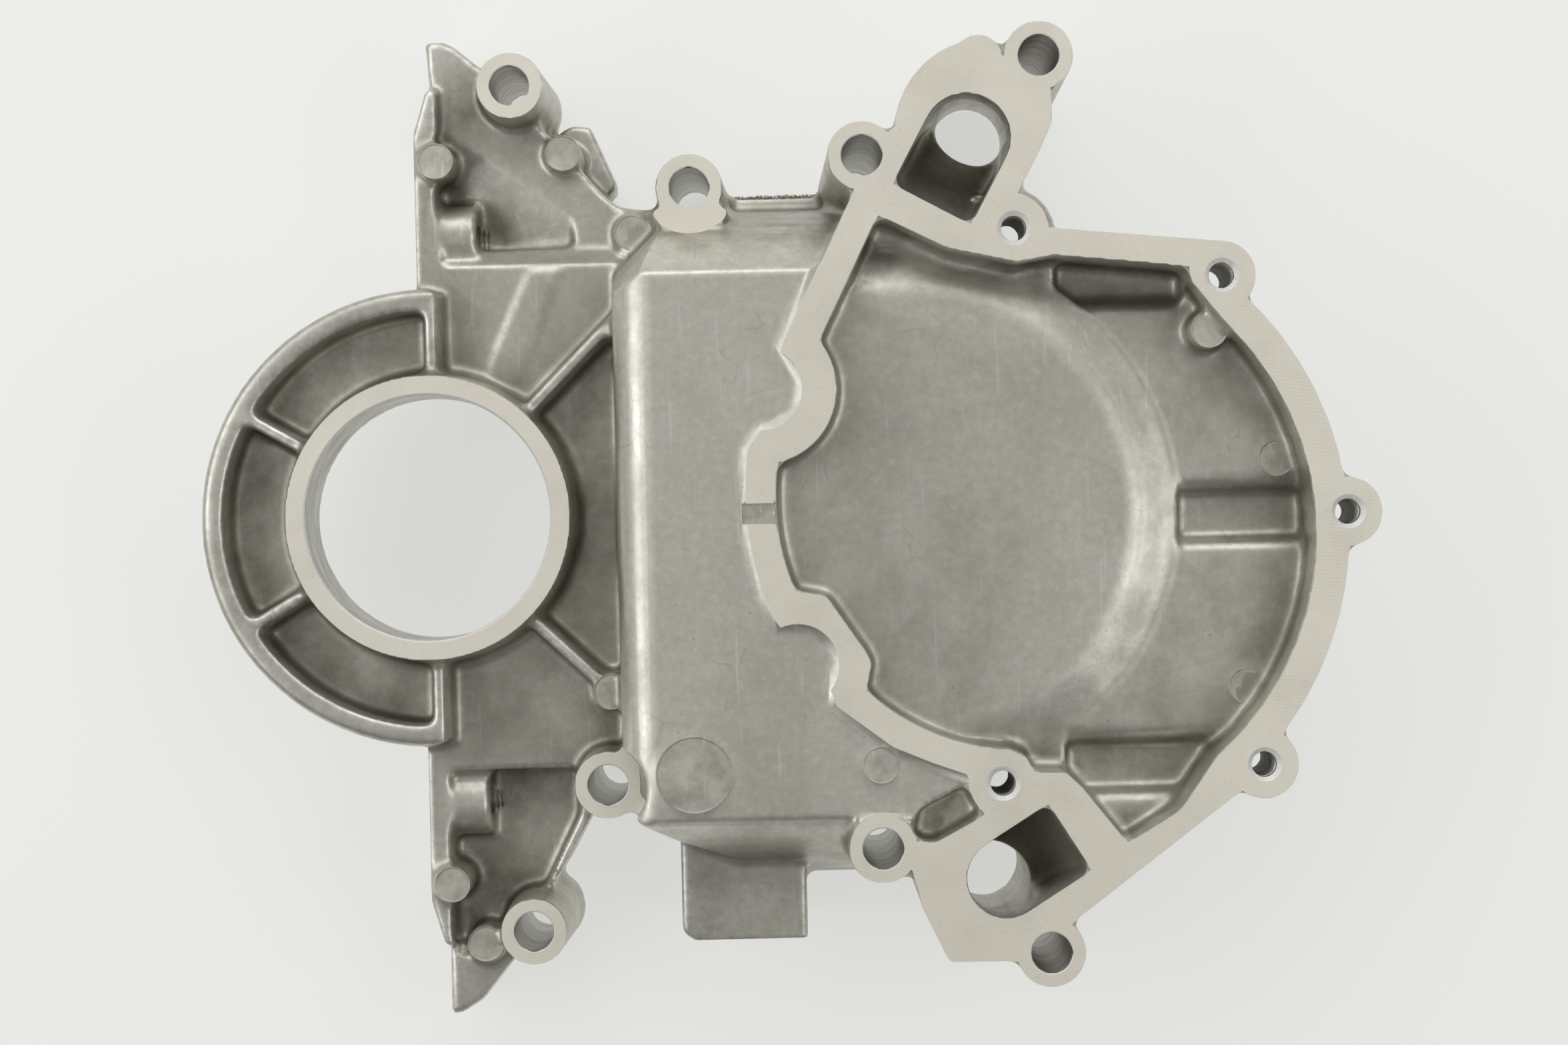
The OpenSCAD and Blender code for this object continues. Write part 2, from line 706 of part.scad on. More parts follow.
// Outline of the lower ear
module lower_ear_plan() {
    polygon(concat(
        [[0, -case_half_w], [0, -rail_end_y], [0, -ear_low_y]], lower_ear_edge,
        [ear_bolt_low], lower_ear_side, [case_bolt_low, [case_left_x + lap, -case_half_w]]
    ));
    translate(ear_bolt_low) circle(boss_r);
}

// Ear that reaches along the oil-pan rail, as a shell open to the block
module ear_shell() {
    difference() {
        linear_extrude(ear_z) children();
        translate([0, 0, -lap]) linear_extrude(ear_back_z + lap)
            offset(delta = -ear_wall) children();
    }
}

// Recess of the upper ear, sloping down to the oil-pan boss
module upper_ear_recess() {
    left = rail_x + rail_t - lap;
    low = plate_step_y + plate_z - ear_z;
    start = [left, recess_start_y];
    end = recess_end;
    run = end - start;
    intersection() {
        translate([0, 0, ear_recess_z]) linear_extrude(ear_z) polygon([start, end, [end[0], low], [left, low]]);
        translate([start[0], start[1], ear_z]) rotate([ear_recess_slope, 0, atan2(run[1], run[0])])
            translate([-ear_z, -2 * norm(run), 0]) cube([3 * norm(run), 2 * norm(run), 2 * ear_z]);
    }
}

// Recess of the lower ear, with an upstanding edge on its outer side
module lower_ear_recess() {
    left = rail_x + rail_t - lap;
    low = plate_step_y + lap;
    translate([0, 0, ear_recess_z]) linear_extrude(ear_z) polygon(concat(
        [[left, -low], [lower_recess[0][0], -low]], lower_recess, [[left, lower_recess[3][1]]]
    ));
}

// Step from the lower plate down to the ears
module plate_step(side) {
    bevel = plate_z - ear_z;
    inner = case_half_w;
    edge = plate_step_y;
    mirror([0, side > 0 ? 0 : 1, 0]) rotate([90, 0, 90]) translate([0, 0, rail_x + lap])
        linear_extrude(case_left_x - rail_x) polygon([
            [inner, 0], [inner, plate_z], [edge, plate_z], [edge + bevel, ear_z], [edge + bevel, ear_z - lap],
            [edge, ear_z - bevel], [inner + ear_wall, ear_z - bevel], [inner + ear_wall, 0]
        ]);
}

// Rail that the oil pan is bolted to
module pan_rail(side) {
    inside = rail_x + rail_t;
    mirror([0, side > 0 ? 0 : 1, 0]) linear_extrude(plate_z) polygon([
        [rail_x, case_half_w], [rail_x, rail_end_y - rail_taper], [rail_tip_x, rail_end_y],
        [inside, rail_end_y], [inside, case_half_w]
    ]);
}

// Cylinder along X for the oil-pan bolts
module along_rail(y, r, from, to) {
    translate([from, y, pan_boss_z]) rotate([0, 90, 0]) cylinder(h = to - from, r = r);
}

// Fuel-pump pad below the case
module fuel_pump_pad() {
    r = pad_corner_r;
    linear_extrude(pad_front_z) difference() {
        translate([pad_left_x, pad_face_y]) square([pad_w, panel_low_y - pad_face_y]);
        difference() {
            translate([pad_left_x - lap, pad_face_y - lap]) square(r + lap);
            translate([pad_left_x + r, pad_face_y + r]) circle(r);
        }
    }
}

// Window and bolt tappings of the fuel-pump pad
module pad_cuts() {
    middle = pad_left_x + pad_w / 2;
    middle_z = pad_front_z / 2 + lap;
    translate([middle - pad_window_w / 2, pad_face_y - lap, middle_z - pad_window_h / 2])
        cube([pad_window_w, panel_low_y - pad_face_y, pad_window_h]);
    for (side = [-1, 1]) translate([middle, pad_face_y - lap, middle_z + side * pad_bolt_gap / 2])
        rotate([-90, 0, 0]) cylinder(h = pad_bolt_depth + lap, r = tap_r);
}

// Ejector studs and marks left by the die
module ejector_marks() {
    for (stud = studs) translate([stud[0][0], stud[0][1], stud[1]]) cylinder(h = stud[2] - stud[1], r = stud_r);
    translate([disc_c[0], disc_c[1], panel_z - lap]) cylinder(h = lap + mark_h, r = disc_r);
}

// Through-bolt bosses with a little draft
module bolt_bosses() {
    for (bolt = bolts) translate([bolt[0][0], bolt[0][1], 0])
        cylinder(h = bolt[1], r1 = boss_r + boss_draft, r2 = boss_r);
}

// Clearance that the mill leaves round the face of a boss beside the case
module milled_seat(place, z, r) {
    translate([place[0], place[1], z]) cylinder(h = pump_face_z, r = r);
}

// Bolt holes, tappings and their countersinks
module bolt_holes() {
    for (bolt = bolts) translate([bolt[0][0], bolt[0][1], -lap])
        cylinder(h = bolt[1] + 2 * lap, r = bolt_hole_r);
    for (tap = taps) translate([dome_c[0] + tap[0], dome_c[1] + tap[1], 0]) {
        translate([0, 0, flange_back_z - lap]) cylinder(h = pump_flange_t + 2 * lap, r = tap_r);
        translate([0, 0, pump_face_z - tap_mouth_r + tap_r])
            cylinder(h = tap_mouth_r - tap_r + lap, r1 = tap_r, r2 = tap_mouth_r + lap);
    }
}

// Shell of the casting before its bosses are added
module casting_shell() {
    difference() {
        union() {
            case_form(0) linear_extrude(panel_z + lap) case_plan();
            cam_arch();
            translate([0, 0, flange_back_z]) linear_extrude(pump_flange_t) pump_outline();
            port_towers();
            top_flange();
            web_fill();
            fuel_pump_pad();
        }
        case_form(case_wall) translate([0, 0, -lap]) linear_extrude(panel_z) case_hollow_plan();
        cam_hollow();
        pump_pocket();
        flange_relief();
        translate([case_left_x - lap, -case_half_w, -lap])
            cube([2 * lap + case_wall, 2 * case_half_w, plate_back_z + lap]);
    }
}

// Ears and rails at the oil-pan line
module ears() {
    difference() {
        union() {
            ear_shell() upper_ear_plan();
            ear_gusset();
            ear_shell() lower_ear_plan();
            for (side = [-1, 1]) {
                plate_step(side);
                pan_rail(side);
            }
        }
        upper_ear_recess();
        lower_ear_recess();
        translate([rail_x - lap, -case_half_w, -lap]) cube([reach, 2 * case_half_w, plate_back_z + lap]);
    }
}

// The one casting
module timing_cover() {
    color("silver") difference() {
        union() {
            casting_shell();
            ears();
            lower_plate();
            half_round_rim();
            seal_ring();
            plate_ribs();
            plate_ridge();
            bolt_bosses();
            for (y = pan_bolt_y) along_rail(y, pan_boss_r, rail_x, rail_x + pan_boss_len);
            ejector_marks();
        }
        seal_bore();
        bolt_holes();
        port(dome_c + upper_port_c, upper_port_turn, upper_port_r, dome_c + upper_hole);
        port(dome_c + lower_port_c, lower_port_turn, lower_port_r, dome_c + lower_hole);
        for (y = pan_bolt_y) along_rail(y, tap_r, rail_x - lap, rail_x + pan_boss_len + lap);
        milled_seat(case_bolt_top, case_boss_top_z, spot_face_top_r);
        milled_seat(case_bolt_low, case_boss_low_z, spot_face_r);
        pad_cuts();
        translate([dome_c[0] + key_corner[0], dome_c[1] + key_corner[1], pump_face_z - key_depth])
            cube([key_size[0], key_size[1], key_depth + lap]);
    }
}

timing_cover();
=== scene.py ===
"""Looks of the cast timing cover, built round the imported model.

The casting is made the way the real one is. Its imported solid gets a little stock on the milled
planes, a level set rounds its corners as a die does, and exact cutters then mill and drill it.
Lengths are in millimetres until a mesh is stored, which is in metres.
"""

import json
import logging
import math
from dataclasses import dataclass, field
from enum import Enum

import bmesh
import bpy
import numpy as np
import openvdb
from mathutils import Matrix, Vector

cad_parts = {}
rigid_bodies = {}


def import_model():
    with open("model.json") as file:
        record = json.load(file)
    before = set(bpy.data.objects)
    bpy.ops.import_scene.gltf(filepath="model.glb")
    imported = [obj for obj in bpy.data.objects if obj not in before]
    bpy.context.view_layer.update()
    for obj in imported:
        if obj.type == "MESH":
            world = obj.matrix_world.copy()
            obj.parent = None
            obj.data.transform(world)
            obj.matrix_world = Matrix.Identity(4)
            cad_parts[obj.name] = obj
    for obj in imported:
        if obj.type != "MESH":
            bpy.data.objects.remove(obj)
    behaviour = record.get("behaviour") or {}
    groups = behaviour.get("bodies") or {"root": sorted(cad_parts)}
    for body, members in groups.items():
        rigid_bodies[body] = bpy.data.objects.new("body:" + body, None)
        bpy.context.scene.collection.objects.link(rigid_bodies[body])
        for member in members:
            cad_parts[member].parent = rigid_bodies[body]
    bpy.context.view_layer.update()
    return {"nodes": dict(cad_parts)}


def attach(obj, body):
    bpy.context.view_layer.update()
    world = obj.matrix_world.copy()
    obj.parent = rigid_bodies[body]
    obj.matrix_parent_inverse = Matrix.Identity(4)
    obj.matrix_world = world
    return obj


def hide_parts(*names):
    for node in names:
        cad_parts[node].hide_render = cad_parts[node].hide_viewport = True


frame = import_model()

NODE = "timing_cover"
BODY = "root"
MM = 0.001

Feed = bpy.types.NodeSocket | float | tuple[float, ...]

log = logging.getLogger("timing_cover")


class Finish(Enum):
    """Material slots of the casting, in the order of its mesh."""

    CAST = 0
    MILLED = 1
    BORED = 2
    PIN = 3
    RIM = 4


@dataclass(frozen=True)
class Boss:
    """Round place on the casting.

    Args:
        x: place along X.
        y: place along Y.
        z: height of its face.
        r: radius of its milled seat.
    """

    x: float
    y: float
    z: float
    r: float = 11.3


@dataclass(frozen=True)
class CoverSizes:
    """Sizes of the cover that the cutters need, in millimetres."""

    pump_face: float = 68.0
    panel: float = 67.2
    flange_back: float = 45.0
    ring_front: float = 52.0
    ring_back: float = 30.5
    ring_r: float = 40.0
    seal_r: float = 33.4
    seal_chamfer: float = 0.6
    rail_x: float = -4.0
    pad_y: float = -118.0
    bolt_r: float = 5.4
    tap_r: float = 3.3
    tap_mouth_r: float = 4.6
    pin_r: float = 5.0
    disc_r: float = 10.3
    bolts: tuple[Boss, ...] = (
        Boss(24.2, 118.8, 44.0),
        Boss(25.4, -114.9, 44.0),
        Boss(73.3, 88.8, 49.0, 12.9),
        Boss(47.5, -73.9, 53.0),
        Boss(120.1, 93.4, 68.0),
        Boss(121.4, -91.0, 68.0),
        Boss(167.8, 118.9, 68.0),
        Boss(165.5, -119.7, 68.0),
    )
    taps: tuple[Boss, ...] = (
        Boss(160.1, 73.1, 68.0),
        Boss(215.0, 59.3, 68.0),
        Boss(247.1, -4.3, 68.0),
        Boss(223.3, -71.0, 68.0),
        Boss(153.7, -74.4, 68.0),
    )
    pan_tap_y: tuple[float, ...] = (79.0, -80.6)
    pan_tap_z: float = 25.0
    pan_tap_end: float = 12.5
    pad_tap_x: float = 83.75
    pad_tap_z: tuple[float, ...] = (8.5, 39.5)
    pad_tap_depth: float = 14.0
    pins: tuple[Boss, ...] = (
        Boss(2.6, 99.2, 39.0),
        Boss(2.5, -102.1, 39.0),
        Boss(37.6, 101.4, 34.0),
        Boss(56.5, 78.6, 34.0),
        Boss(48.7, -48.9, 48.0),
        Boss(10.7, -119.7, 34.0),
        Boss(121.4, -68.8, 67.7),
        Boss(212.0, 45.2, 64.0),
        Boss(230.9, 10.6, 55.5),
        Boss(221.5, -50.9, 55.5),
    )
    disc: Boss = Boss(71.7, -70.2, 67.7)
    ports: tuple[Boss, ...] = (Boss(143.3, 88.8, 68.0, 26.0), Boss(162.4, -94.3, 68.0, 26.0))
    dome_x: float = 131.0
    dome_y: float = -2.0
    dome_top: float = 60.0
    dome_foot: float = 55.0
    dome_top_r: float = 63.0
    dome_foot_r: float = 73.0
    dome_soft: tuple[float, float] = (57.0, 75.0)
    key_corner: tuple[float, float, float] = (86.0, -3.9, 66.5)
    key_size: tuple[float, float, float] = (10.5, 5.5, 5.0)


@dataclass(frozen=True)
class CastFinish:
    """As-cast skin: satin grey, mottled, with fine grain."""

    base: tuple[float, float, float] = (0.74, 0.722, 0.645)
    dark: tuple[float, float, float] = (0.47, 0.452, 0.392)
    bright: tuple[float, float, float] = (0.93, 0.92, 0.87)
    patch: tuple[float, float, float] = (0.44, 0.42, 0.345)
    # Dark colour of stains, veins and pits, also of the painted shade in the hollows and of the darker low
    # surfaces.
    stain_and_shade: tuple[float, float, float] = (0.19, 0.18, 0.145)
    # Lower surfaces are made darker: fully below the first height, not at all above the second, by at most
    # the share.
    low_dark_full: float = 0.052
    low_dark_end: float = 0.0625
    low_dark_share: float = 0.45
    metallic: float = 0.88
    cloud_scale: float = 19.0
    mottle_scale: float = 62.0
    speck_scale: float = 430.0
    grain_scale: float = 1700.0
    vein_scale: float = 75.0
    pit_scale: float = 230.0
    scratch_scale: float = 520.0


@dataclass(frozen=True)
class MilledFinish:
    """Milled face: pale, with fine arcs left by the cutter."""

    base: tuple[float, float, float] = (0.93, 0.885, 0.77)
    dark: tuple[float, float, float] = (0.78, 0.74, 0.635)
    metallic: float = 0.5
    roughness: float = 0.44
    line_scale: float = 330.0
    line_depth: float = 0.012


@dataclass(frozen=True)
class RimFinish:
    """Countersunk rim of a hole: freshly cut and bright."""

    base: tuple[float, float, float] = (0.95, 0.945, 0.92)
    metallic: float = 0.25
    roughness: float = 0.4


@dataclass(frozen=True)
class BoredFinish:
    """Drilled or bored wall: darker, with rings round its axis."""

    base: tuple[float, float, float] = (0.66, 0.64, 0.575)
    dark: tuple[float, float, float] = (0.33, 0.32, 0.285)
    metallic: float = 0.9
    roughness: float = 0.34
    ring_scale: float = 150.0
    ring_depth: float = 0.08


class Sheet:
    """Small helper that adds shader nodes to one material."""

    def __init__(self, name: str) -> None:
        """Makes the material with an empty node tree and its output.

        Args:
            name: name of the material.
        """
        self.material = bpy.data.materials.new(name)
        self.material.use_nodes = True
        self.tree = self.material.node_tree
        self.tree.nodes.clear()
        self.out = self.tree.nodes.new("ShaderNodeOutputMaterial")

    def add(self, kind: str, settings: dict[str, object] | None = None, **inputs: Feed) -> bpy.types.Node:
        """Adds a node.

        Args:
            kind: node type without its ShaderNode prefix.
            settings: attributes of the node.
            inputs: values or sockets by input name, with spaces as underscores.

        Returns:
            The new node.
        """
        node = self.tree.nodes.new("ShaderNode" + kind)
        for key, value in (settings or {}).items():
            setattr(node, key, value)
        for key, value in inputs.items():
            self.feed(node.inputs[key.replace("_", " ")], value)
        return node

    def feed(self, socket: bpy.types.NodeSocket, value: Feed) -> None:
        """Links a socket into an input, or sets the input's own value."""
        if isinstance(value, bpy.types.NodeSocket):
            self.tree.links.new(value, socket)
        else:
            socket.default_value = value

    def noise(self, vector: bpy.types.NodeSocket, scale: float, detail: float = 4.0,
              roughness: float = 0.55) -> bpy.types.NodeSocket:
        """Noise value at a scale.

        Args:
            vector: place on the piece.
            scale: waves for each metre.
            detail: number of finer layers.
            roughness: strength of the finer layers.

        Returns:
            The noise's value socket.
        """
        node = self.add("TexNoise", Vector=vector, Scale=scale, Detail=detail, Roughness=roughness)
        return node.outputs["Fac"]

    def ramp(self, value: bpy.types.NodeSocket, low: float, high: float, to_low: float = 0.0,
             to_high: float = 1.0) -> bpy.types.NodeSocket:
        """Clamped straight map of a value.

        Args:
            value: socket to map.
            low: value that gives to_low.
            high: value that gives to_high.
            to_low: first result.
            to_high: last result.

        Returns:
            The mapped value's socket.
        """
        node = self.add("MapRange", {"clamp": True}, Value=value)
        for key, number in (("From Min", low), ("From Max", high), ("To Min", to_low), ("To Max", to_high)):
            node.inputs[key].default_value = number
        return node.outputs["Result"]

    def calc(self, operation: str, first: Feed, second: Feed) -> bpy.types.NodeSocket:
        """Result of a two-input math node."""
        node = self.add("Math", {"operation": operation})
        self.feed(node.inputs[0], first)
        self.feed(node.inputs[1], second)
        return node.outputs[0]

    def mix(self, share: bpy.types.NodeSocket, first: Feed, second: Feed) -> bpy.types.NodeSocket:
        """Colour between two colours.

        Args:
            share: share of the second colour.
            first: colour at share 0, or its socket.
            second: colour at share 1, or its socket.

        Returns:
            The mixed colour's socket.
        """
        node = self.add("Mix", {"data_type": "RGBA"})
        self.feed(node.inputs[0], share)
        for socket, value in ((node.inputs[6], first), (node.inputs[7], second)):
            self.feed(socket, (*value, 1.0) if isinstance(value, tuple) else value)
        return node.outputs[2]

    def bump(self, height: bpy.types.NodeSocket, depth: float, strength: float = 1.0,
             normal: bpy.types.NodeSocket | None = None) -> bpy.types.NodeSocket:
        """Normal of a height field.

        Args:
            height: height socket.
            depth: height of a full step in millimetres.
            strength: share of the bump that shows.
            normal: normal to start from.

        Returns:
            The new normal's socket.
        """
        node = self.add("Bump", Height=height, Distance=depth * MM, Strength=strength)
        if normal is not None:
            self.feed(node.inputs["Normal"], normal)
        return node.outputs["Normal"]

    def attribute(self, name: str, output: str) -> bpy.types.NodeSocket:
        """Stored attribute of the mesh, as its Fac or Vector output."""
        return self.add("Attribute", {"attribute_name": name}).outputs[output]

    def bent(self, vector: bpy.types.NodeSocket, scale: float, reach: float) -> bpy.types.NodeSocket:
        """Places pushed about by noise.

        Args:
            vector: place on the piece.
            scale: waves for each metre.
            reach: largest push in metres.

        Returns:
            The pushed place.
        """
        noise = self.add("TexNoise", Vector=vector, Scale=scale, Detail=3.0)
        push = self.add("VectorMath", {"operation": "MULTIPLY_ADD"})
        self.feed(push.inputs[0], noise.outputs["Color"])
        self.feed(push.inputs[1], (reach, reach, reach))
        self.feed(push.inputs[2], vector)
        return push.outputs["Vector"]

    def place(self) -> bpy.types.NodeSocket:
        """Object coordinates of the piece, in metres."""
        return self.add("TexCoord").outputs["Object"]

    def shader(self, **inputs: Feed) -> bpy.types.Material:
        """Joins a principled shader to the output and returns the material."""
        node = self.add("BsdfPrincipled", **inputs)
        self.tree.links.new(node.outputs["BSDF"], self.out.inputs["Surface"])
        return self.material


class Finishes:
    """Materials of the casting."""

    def __init__(self) -> None:
        """Takes the plain values of each finish."""
        self.cast_values = CastFinish()
        self.milled_values = MilledFinish()
        self.bored_values = BoredFinish()
        self.rim_values = RimFinish()

    def cast(self) -> bpy.types.Material:
        """As-cast skin with clouds, stains and painted shade in the hollows, darker low surfaces, veins,
        pits, and edges that are worn and carry painted highlights.
        """
        v = self.cast_values
        sheet = Sheet("cast_skin")
        place = sheet.place()
        # Depth in hollows, for stains and painted shade, and height on edges, for worn spots and painted
        # highlights.
        cavity = sheet.attribute("cavity", "Fac")
        edge = sheet.attribute("edge", "Fac")
        cloud = sheet.noise(place, v.cloud_scale, 4.0, 0.62)
        mottle = sheet.noise(place, v.mottle_scale, 5.0, 0.66)
        speck = sheet.noise(place, v.speck_scale, 3.0, 0.7)
        grain = sheet.noise(place, v.grain_scale, 2.0, 0.6)
        bent = sheet.bent(place, v.vein_scale, 0.012)
        cells = sheet.add("TexVoronoi", {"feature": "DISTANCE_TO_EDGE"}, Vector=bent, Scale=v.vein_scale)
        vein = sheet.ramp(cells.outputs["Distance"], 0.0, 0.025, 1.0, 0.0)
        vein = sheet.calc("MULTIPLY", vein, sheet.ramp(mottle, 0.52, 0.68, 0.0, 0.3))
        dots = sheet.add("TexVoronoi", {"feature": "F1"}, Vector=place, Scale=v.pit_scale)
        pit = sheet.ramp(dots.outputs["Distance"], 0.06, 0.13, 1.0, 0.0)
        pit = sheet.calc("MULTIPLY", pit, sheet.ramp(speck, 0.5, 0.62, 0.0, 0.4))
        tone = sheet.mix(sheet.ramp(mottle, 0.3, 0.68), v.dark, v.base)
        tone = sheet.mix(sheet.ramp(cloud, 0.3, 0.7, 0.35, 0.8), tone, v.base)
        tone = sheet.mix(sheet.ramp(cloud, 0.47, 0.63, 0.0, 0.4), tone, v.patch)
        tone = sheet.mix(sheet.ramp(speck, 0.52, 0.72, 0.0, 0.26), tone, v.bright)
        tone = sheet.mix(sheet.ramp(speck, 0.3, 0.48, 0.28, 0.0), tone, v.dark)
        streak = sheet.add("Mapping", Vector=place, Rotation=(0.0, 0.0, 0.6), Scale=(1.0, 0.05, 1.0))
        scratch = sheet.noise(streak.outputs["Vector"], v.scratch_scale, 2.0, 0.6)
        tone = sheet.mix(sheet.ramp(scratch, 0.64, 0.72, 0.0, 0.3), tone, v.bright)
        # Painted shade and stains in the hollows: the deeper a place lies in a hollow, the darker it is made,
        # unevenly by the mottle.
        dirt_and_shade = sheet.calc("MULTIPLY", cavity, sheet.ramp(mottle, 0.33, 0.62, 1.0, 0.55))
        tone = sheet.mix(dirt_and_shade, tone, v.stain_and_shade)
        # Lower surfaces are made darker: fully below 52 mm, not at all above 62.5 mm, half as much below 36
        # mm, and unevenly by the mottle.
        height = sheet.add("SeparateXYZ", Vector=place).outputs["Z"]
        low = sheet.ramp(height, v.low_dark_full, v.low_dark_end, v.low_dark_share, 0.0)
        low = sheet.calc("MULTIPLY", low, sheet.ramp(height, 0.036, 0.05, 0.5, 1.0))
        low = sheet.calc("MULTIPLY", low, sheet.ramp(mottle, 0.36, 0.6, 1.0, 0.45))
        tone = sheet.mix(low, tone, v.stain_and_shade)
        tone = sheet.mix(sheet.calc("MAXIMUM", vein, pit), tone, v.stain_and_shade)
        # Worn edges and painted highlights: edges that stand out are lightened, unevenly by the specks.
        tone = sheet.mix(sheet.calc("MULTIPLY", edge, sheet.ramp(speck, 0.35, 0.6, 0.1, 0.6)), tone, v.bright)
        rough = sheet.ramp(mottle, 0.3, 0.72, 0.50, 0.36)
        normal = sheet.bump(mottle, 0.22, 0.3)
        normal = sheet.bump(speck, 0.05, 0.5, normal)
        normal = sheet.bump(grain, 0.03, 0.7, normal)
        normal = sheet.bump(sheet.calc("MAXIMUM", vein, pit), -0.05, 0.6, normal)
        return sheet.shader(Base_Color=tone, Metallic=v.metallic, Roughness=rough, Normal=normal)

    def milled(self) -> bpy.types.Material:
        """Milled face with fine arcs round the centre that the face stores."""
        v = self.milled_values
        sheet = Sheet("milled_face")
        place = sheet.place()
        centre = sheet.attribute("mill_centre", "Vector")
        moved = sheet.add("VectorMath", {"operation": "SUBTRACT"})
        sheet.feed(moved.inputs[0], place)
        sheet.feed(moved.inputs[1], centre)
        wave = sheet.add("TexWave", {"wave_type": "RINGS", "rings_direction": "SPHERICAL"},
                         Vector=moved.outputs["Vector"], Scale=v.line_scale, Distortion=1.5, Detail=3.0,
                         Detail_Scale=0.3)
        lines = wave.outputs["Fac"]
        patch = sheet.noise(place, 48.0, 5.0, 0.62)
        fine = sheet.noise(place, 700.0, 3.0, 0.6)
        share = sheet.calc("MULTIPLY", lines, sheet.ramp(patch, 0.35, 0.68, 0.05, 0.42))
        tone = sheet.mix(share, v.base, v.dark)
        tone = sheet.mix(sheet.ramp(patch, 0.56, 0.75, 0.0, 0.4), tone, v.dark)
        tone = sheet.mix(sheet.ramp(fine, 0.3, 0.42, 0.35, 0.0), tone, v.dark)
        rough = sheet.ramp(patch, 0.35, 0.7, v.roughness, v.roughness - 0.08)
        normal = sheet.bump(lines, v.line_depth, 0.5)
        normal = sheet.bump(fine, 0.02, 0.3, normal)
        return sheet.shader(Base_Color=tone, Metallic=v.metallic, Roughness=rough, Normal=normal)

    def bored(self) -> bpy.types.Material:
        """Drilled wall with rings across the axis of the hole."""
        v = self.bored_values
        sheet = Sheet("bored_wall")
        place = sheet.place()
        wave = sheet.add("TexWave", {"wave_type": "BANDS", "bands_direction": "Z"}, Vector=place,
                         Scale=v.ring_scale, Distortion=3.0, Detail=4.0, Detail_Scale=0.6)
        rings = wave.outputs["Fac"]
        flat = sheet.add("Mapping", Vector=place, Scale=(0.25, 0.25, 1.0)).outputs["Vector"]
        patch = sheet.noise(flat, 260.0, 5.0, 0.7)
        tone = sheet.mix(sheet.ramp(patch, 0.36, 0.62), v.dark, v.base)
        tone = sheet.mix(sheet.calc("MULTIPLY", rings, 0.35), tone, v.dark)
        normal = sheet.bump(rings, v.ring_depth, 0.5)
        normal = sheet.bump(patch, 0.15, 0.4, normal)
        return sheet.shader(Base_Color=tone, Metallic=v.metallic, Roughness=v.roughness, Normal=normal)

    def pin(self) -> bpy.types.Material:
        """Ejector mark: cast skin with scraped scars."""
        v = self.cast_values
        sheet = Sheet("pin_mark")
        place = sheet.place()
        turned = sheet.add("Mapping", Vector=place, Rotation=(0.0, 0.0, 0.7), Scale=(1.0, 0.22, 1.0))
        scar = sheet.noise(turned.outputs["Vector"], 420.0, 4.0, 0.65)
        blotch = sheet.noise(place, 150.0, 5.0, 0.65)
        tone = sheet.mix(sheet.ramp(blotch, 0.33, 0.66), v.dark, v.base)
        tone = sheet.mix(sheet.ramp(scar, 0.6, 0.72, 0.0, 0.55), tone, v.bright)
        normal = sheet.bump(scar, 0.12, 0.5)
        normal = sheet.bump(sheet.noise(place, v.grain_scale, 2.0, 0.6), 0.03, 0.7, normal)
        return sheet.shader(Base_Color=tone, Metallic=v.metallic, Roughness=0.46, Normal=normal)

    def rim(self) -> bpy.types.Material:
        """Bright rim with a little unevenness."""
        v = self.rim_values
        sheet = Sheet("bright_rim")
        fine = sheet.noise(sheet.place(), 900.0, 3.0, 0.6)
        tone = sheet.mix(sheet.ramp(fine, 0.3, 0.5, 0.4, 0.0), v.base, self.milled_values.dark)
        return sheet.shader(Base_Color=tone, Metallic=v.metallic, Roughness=v.roughness,
                            Normal=sheet.bump(fine, 0.05, 0.4))

    def for_casting(self) -> list[bpy.types.Material]:
        """Materials in the order of the Finish options."""
        return [self.cast(), self.milled(), self.bored(), self.pin(), self.rim()]


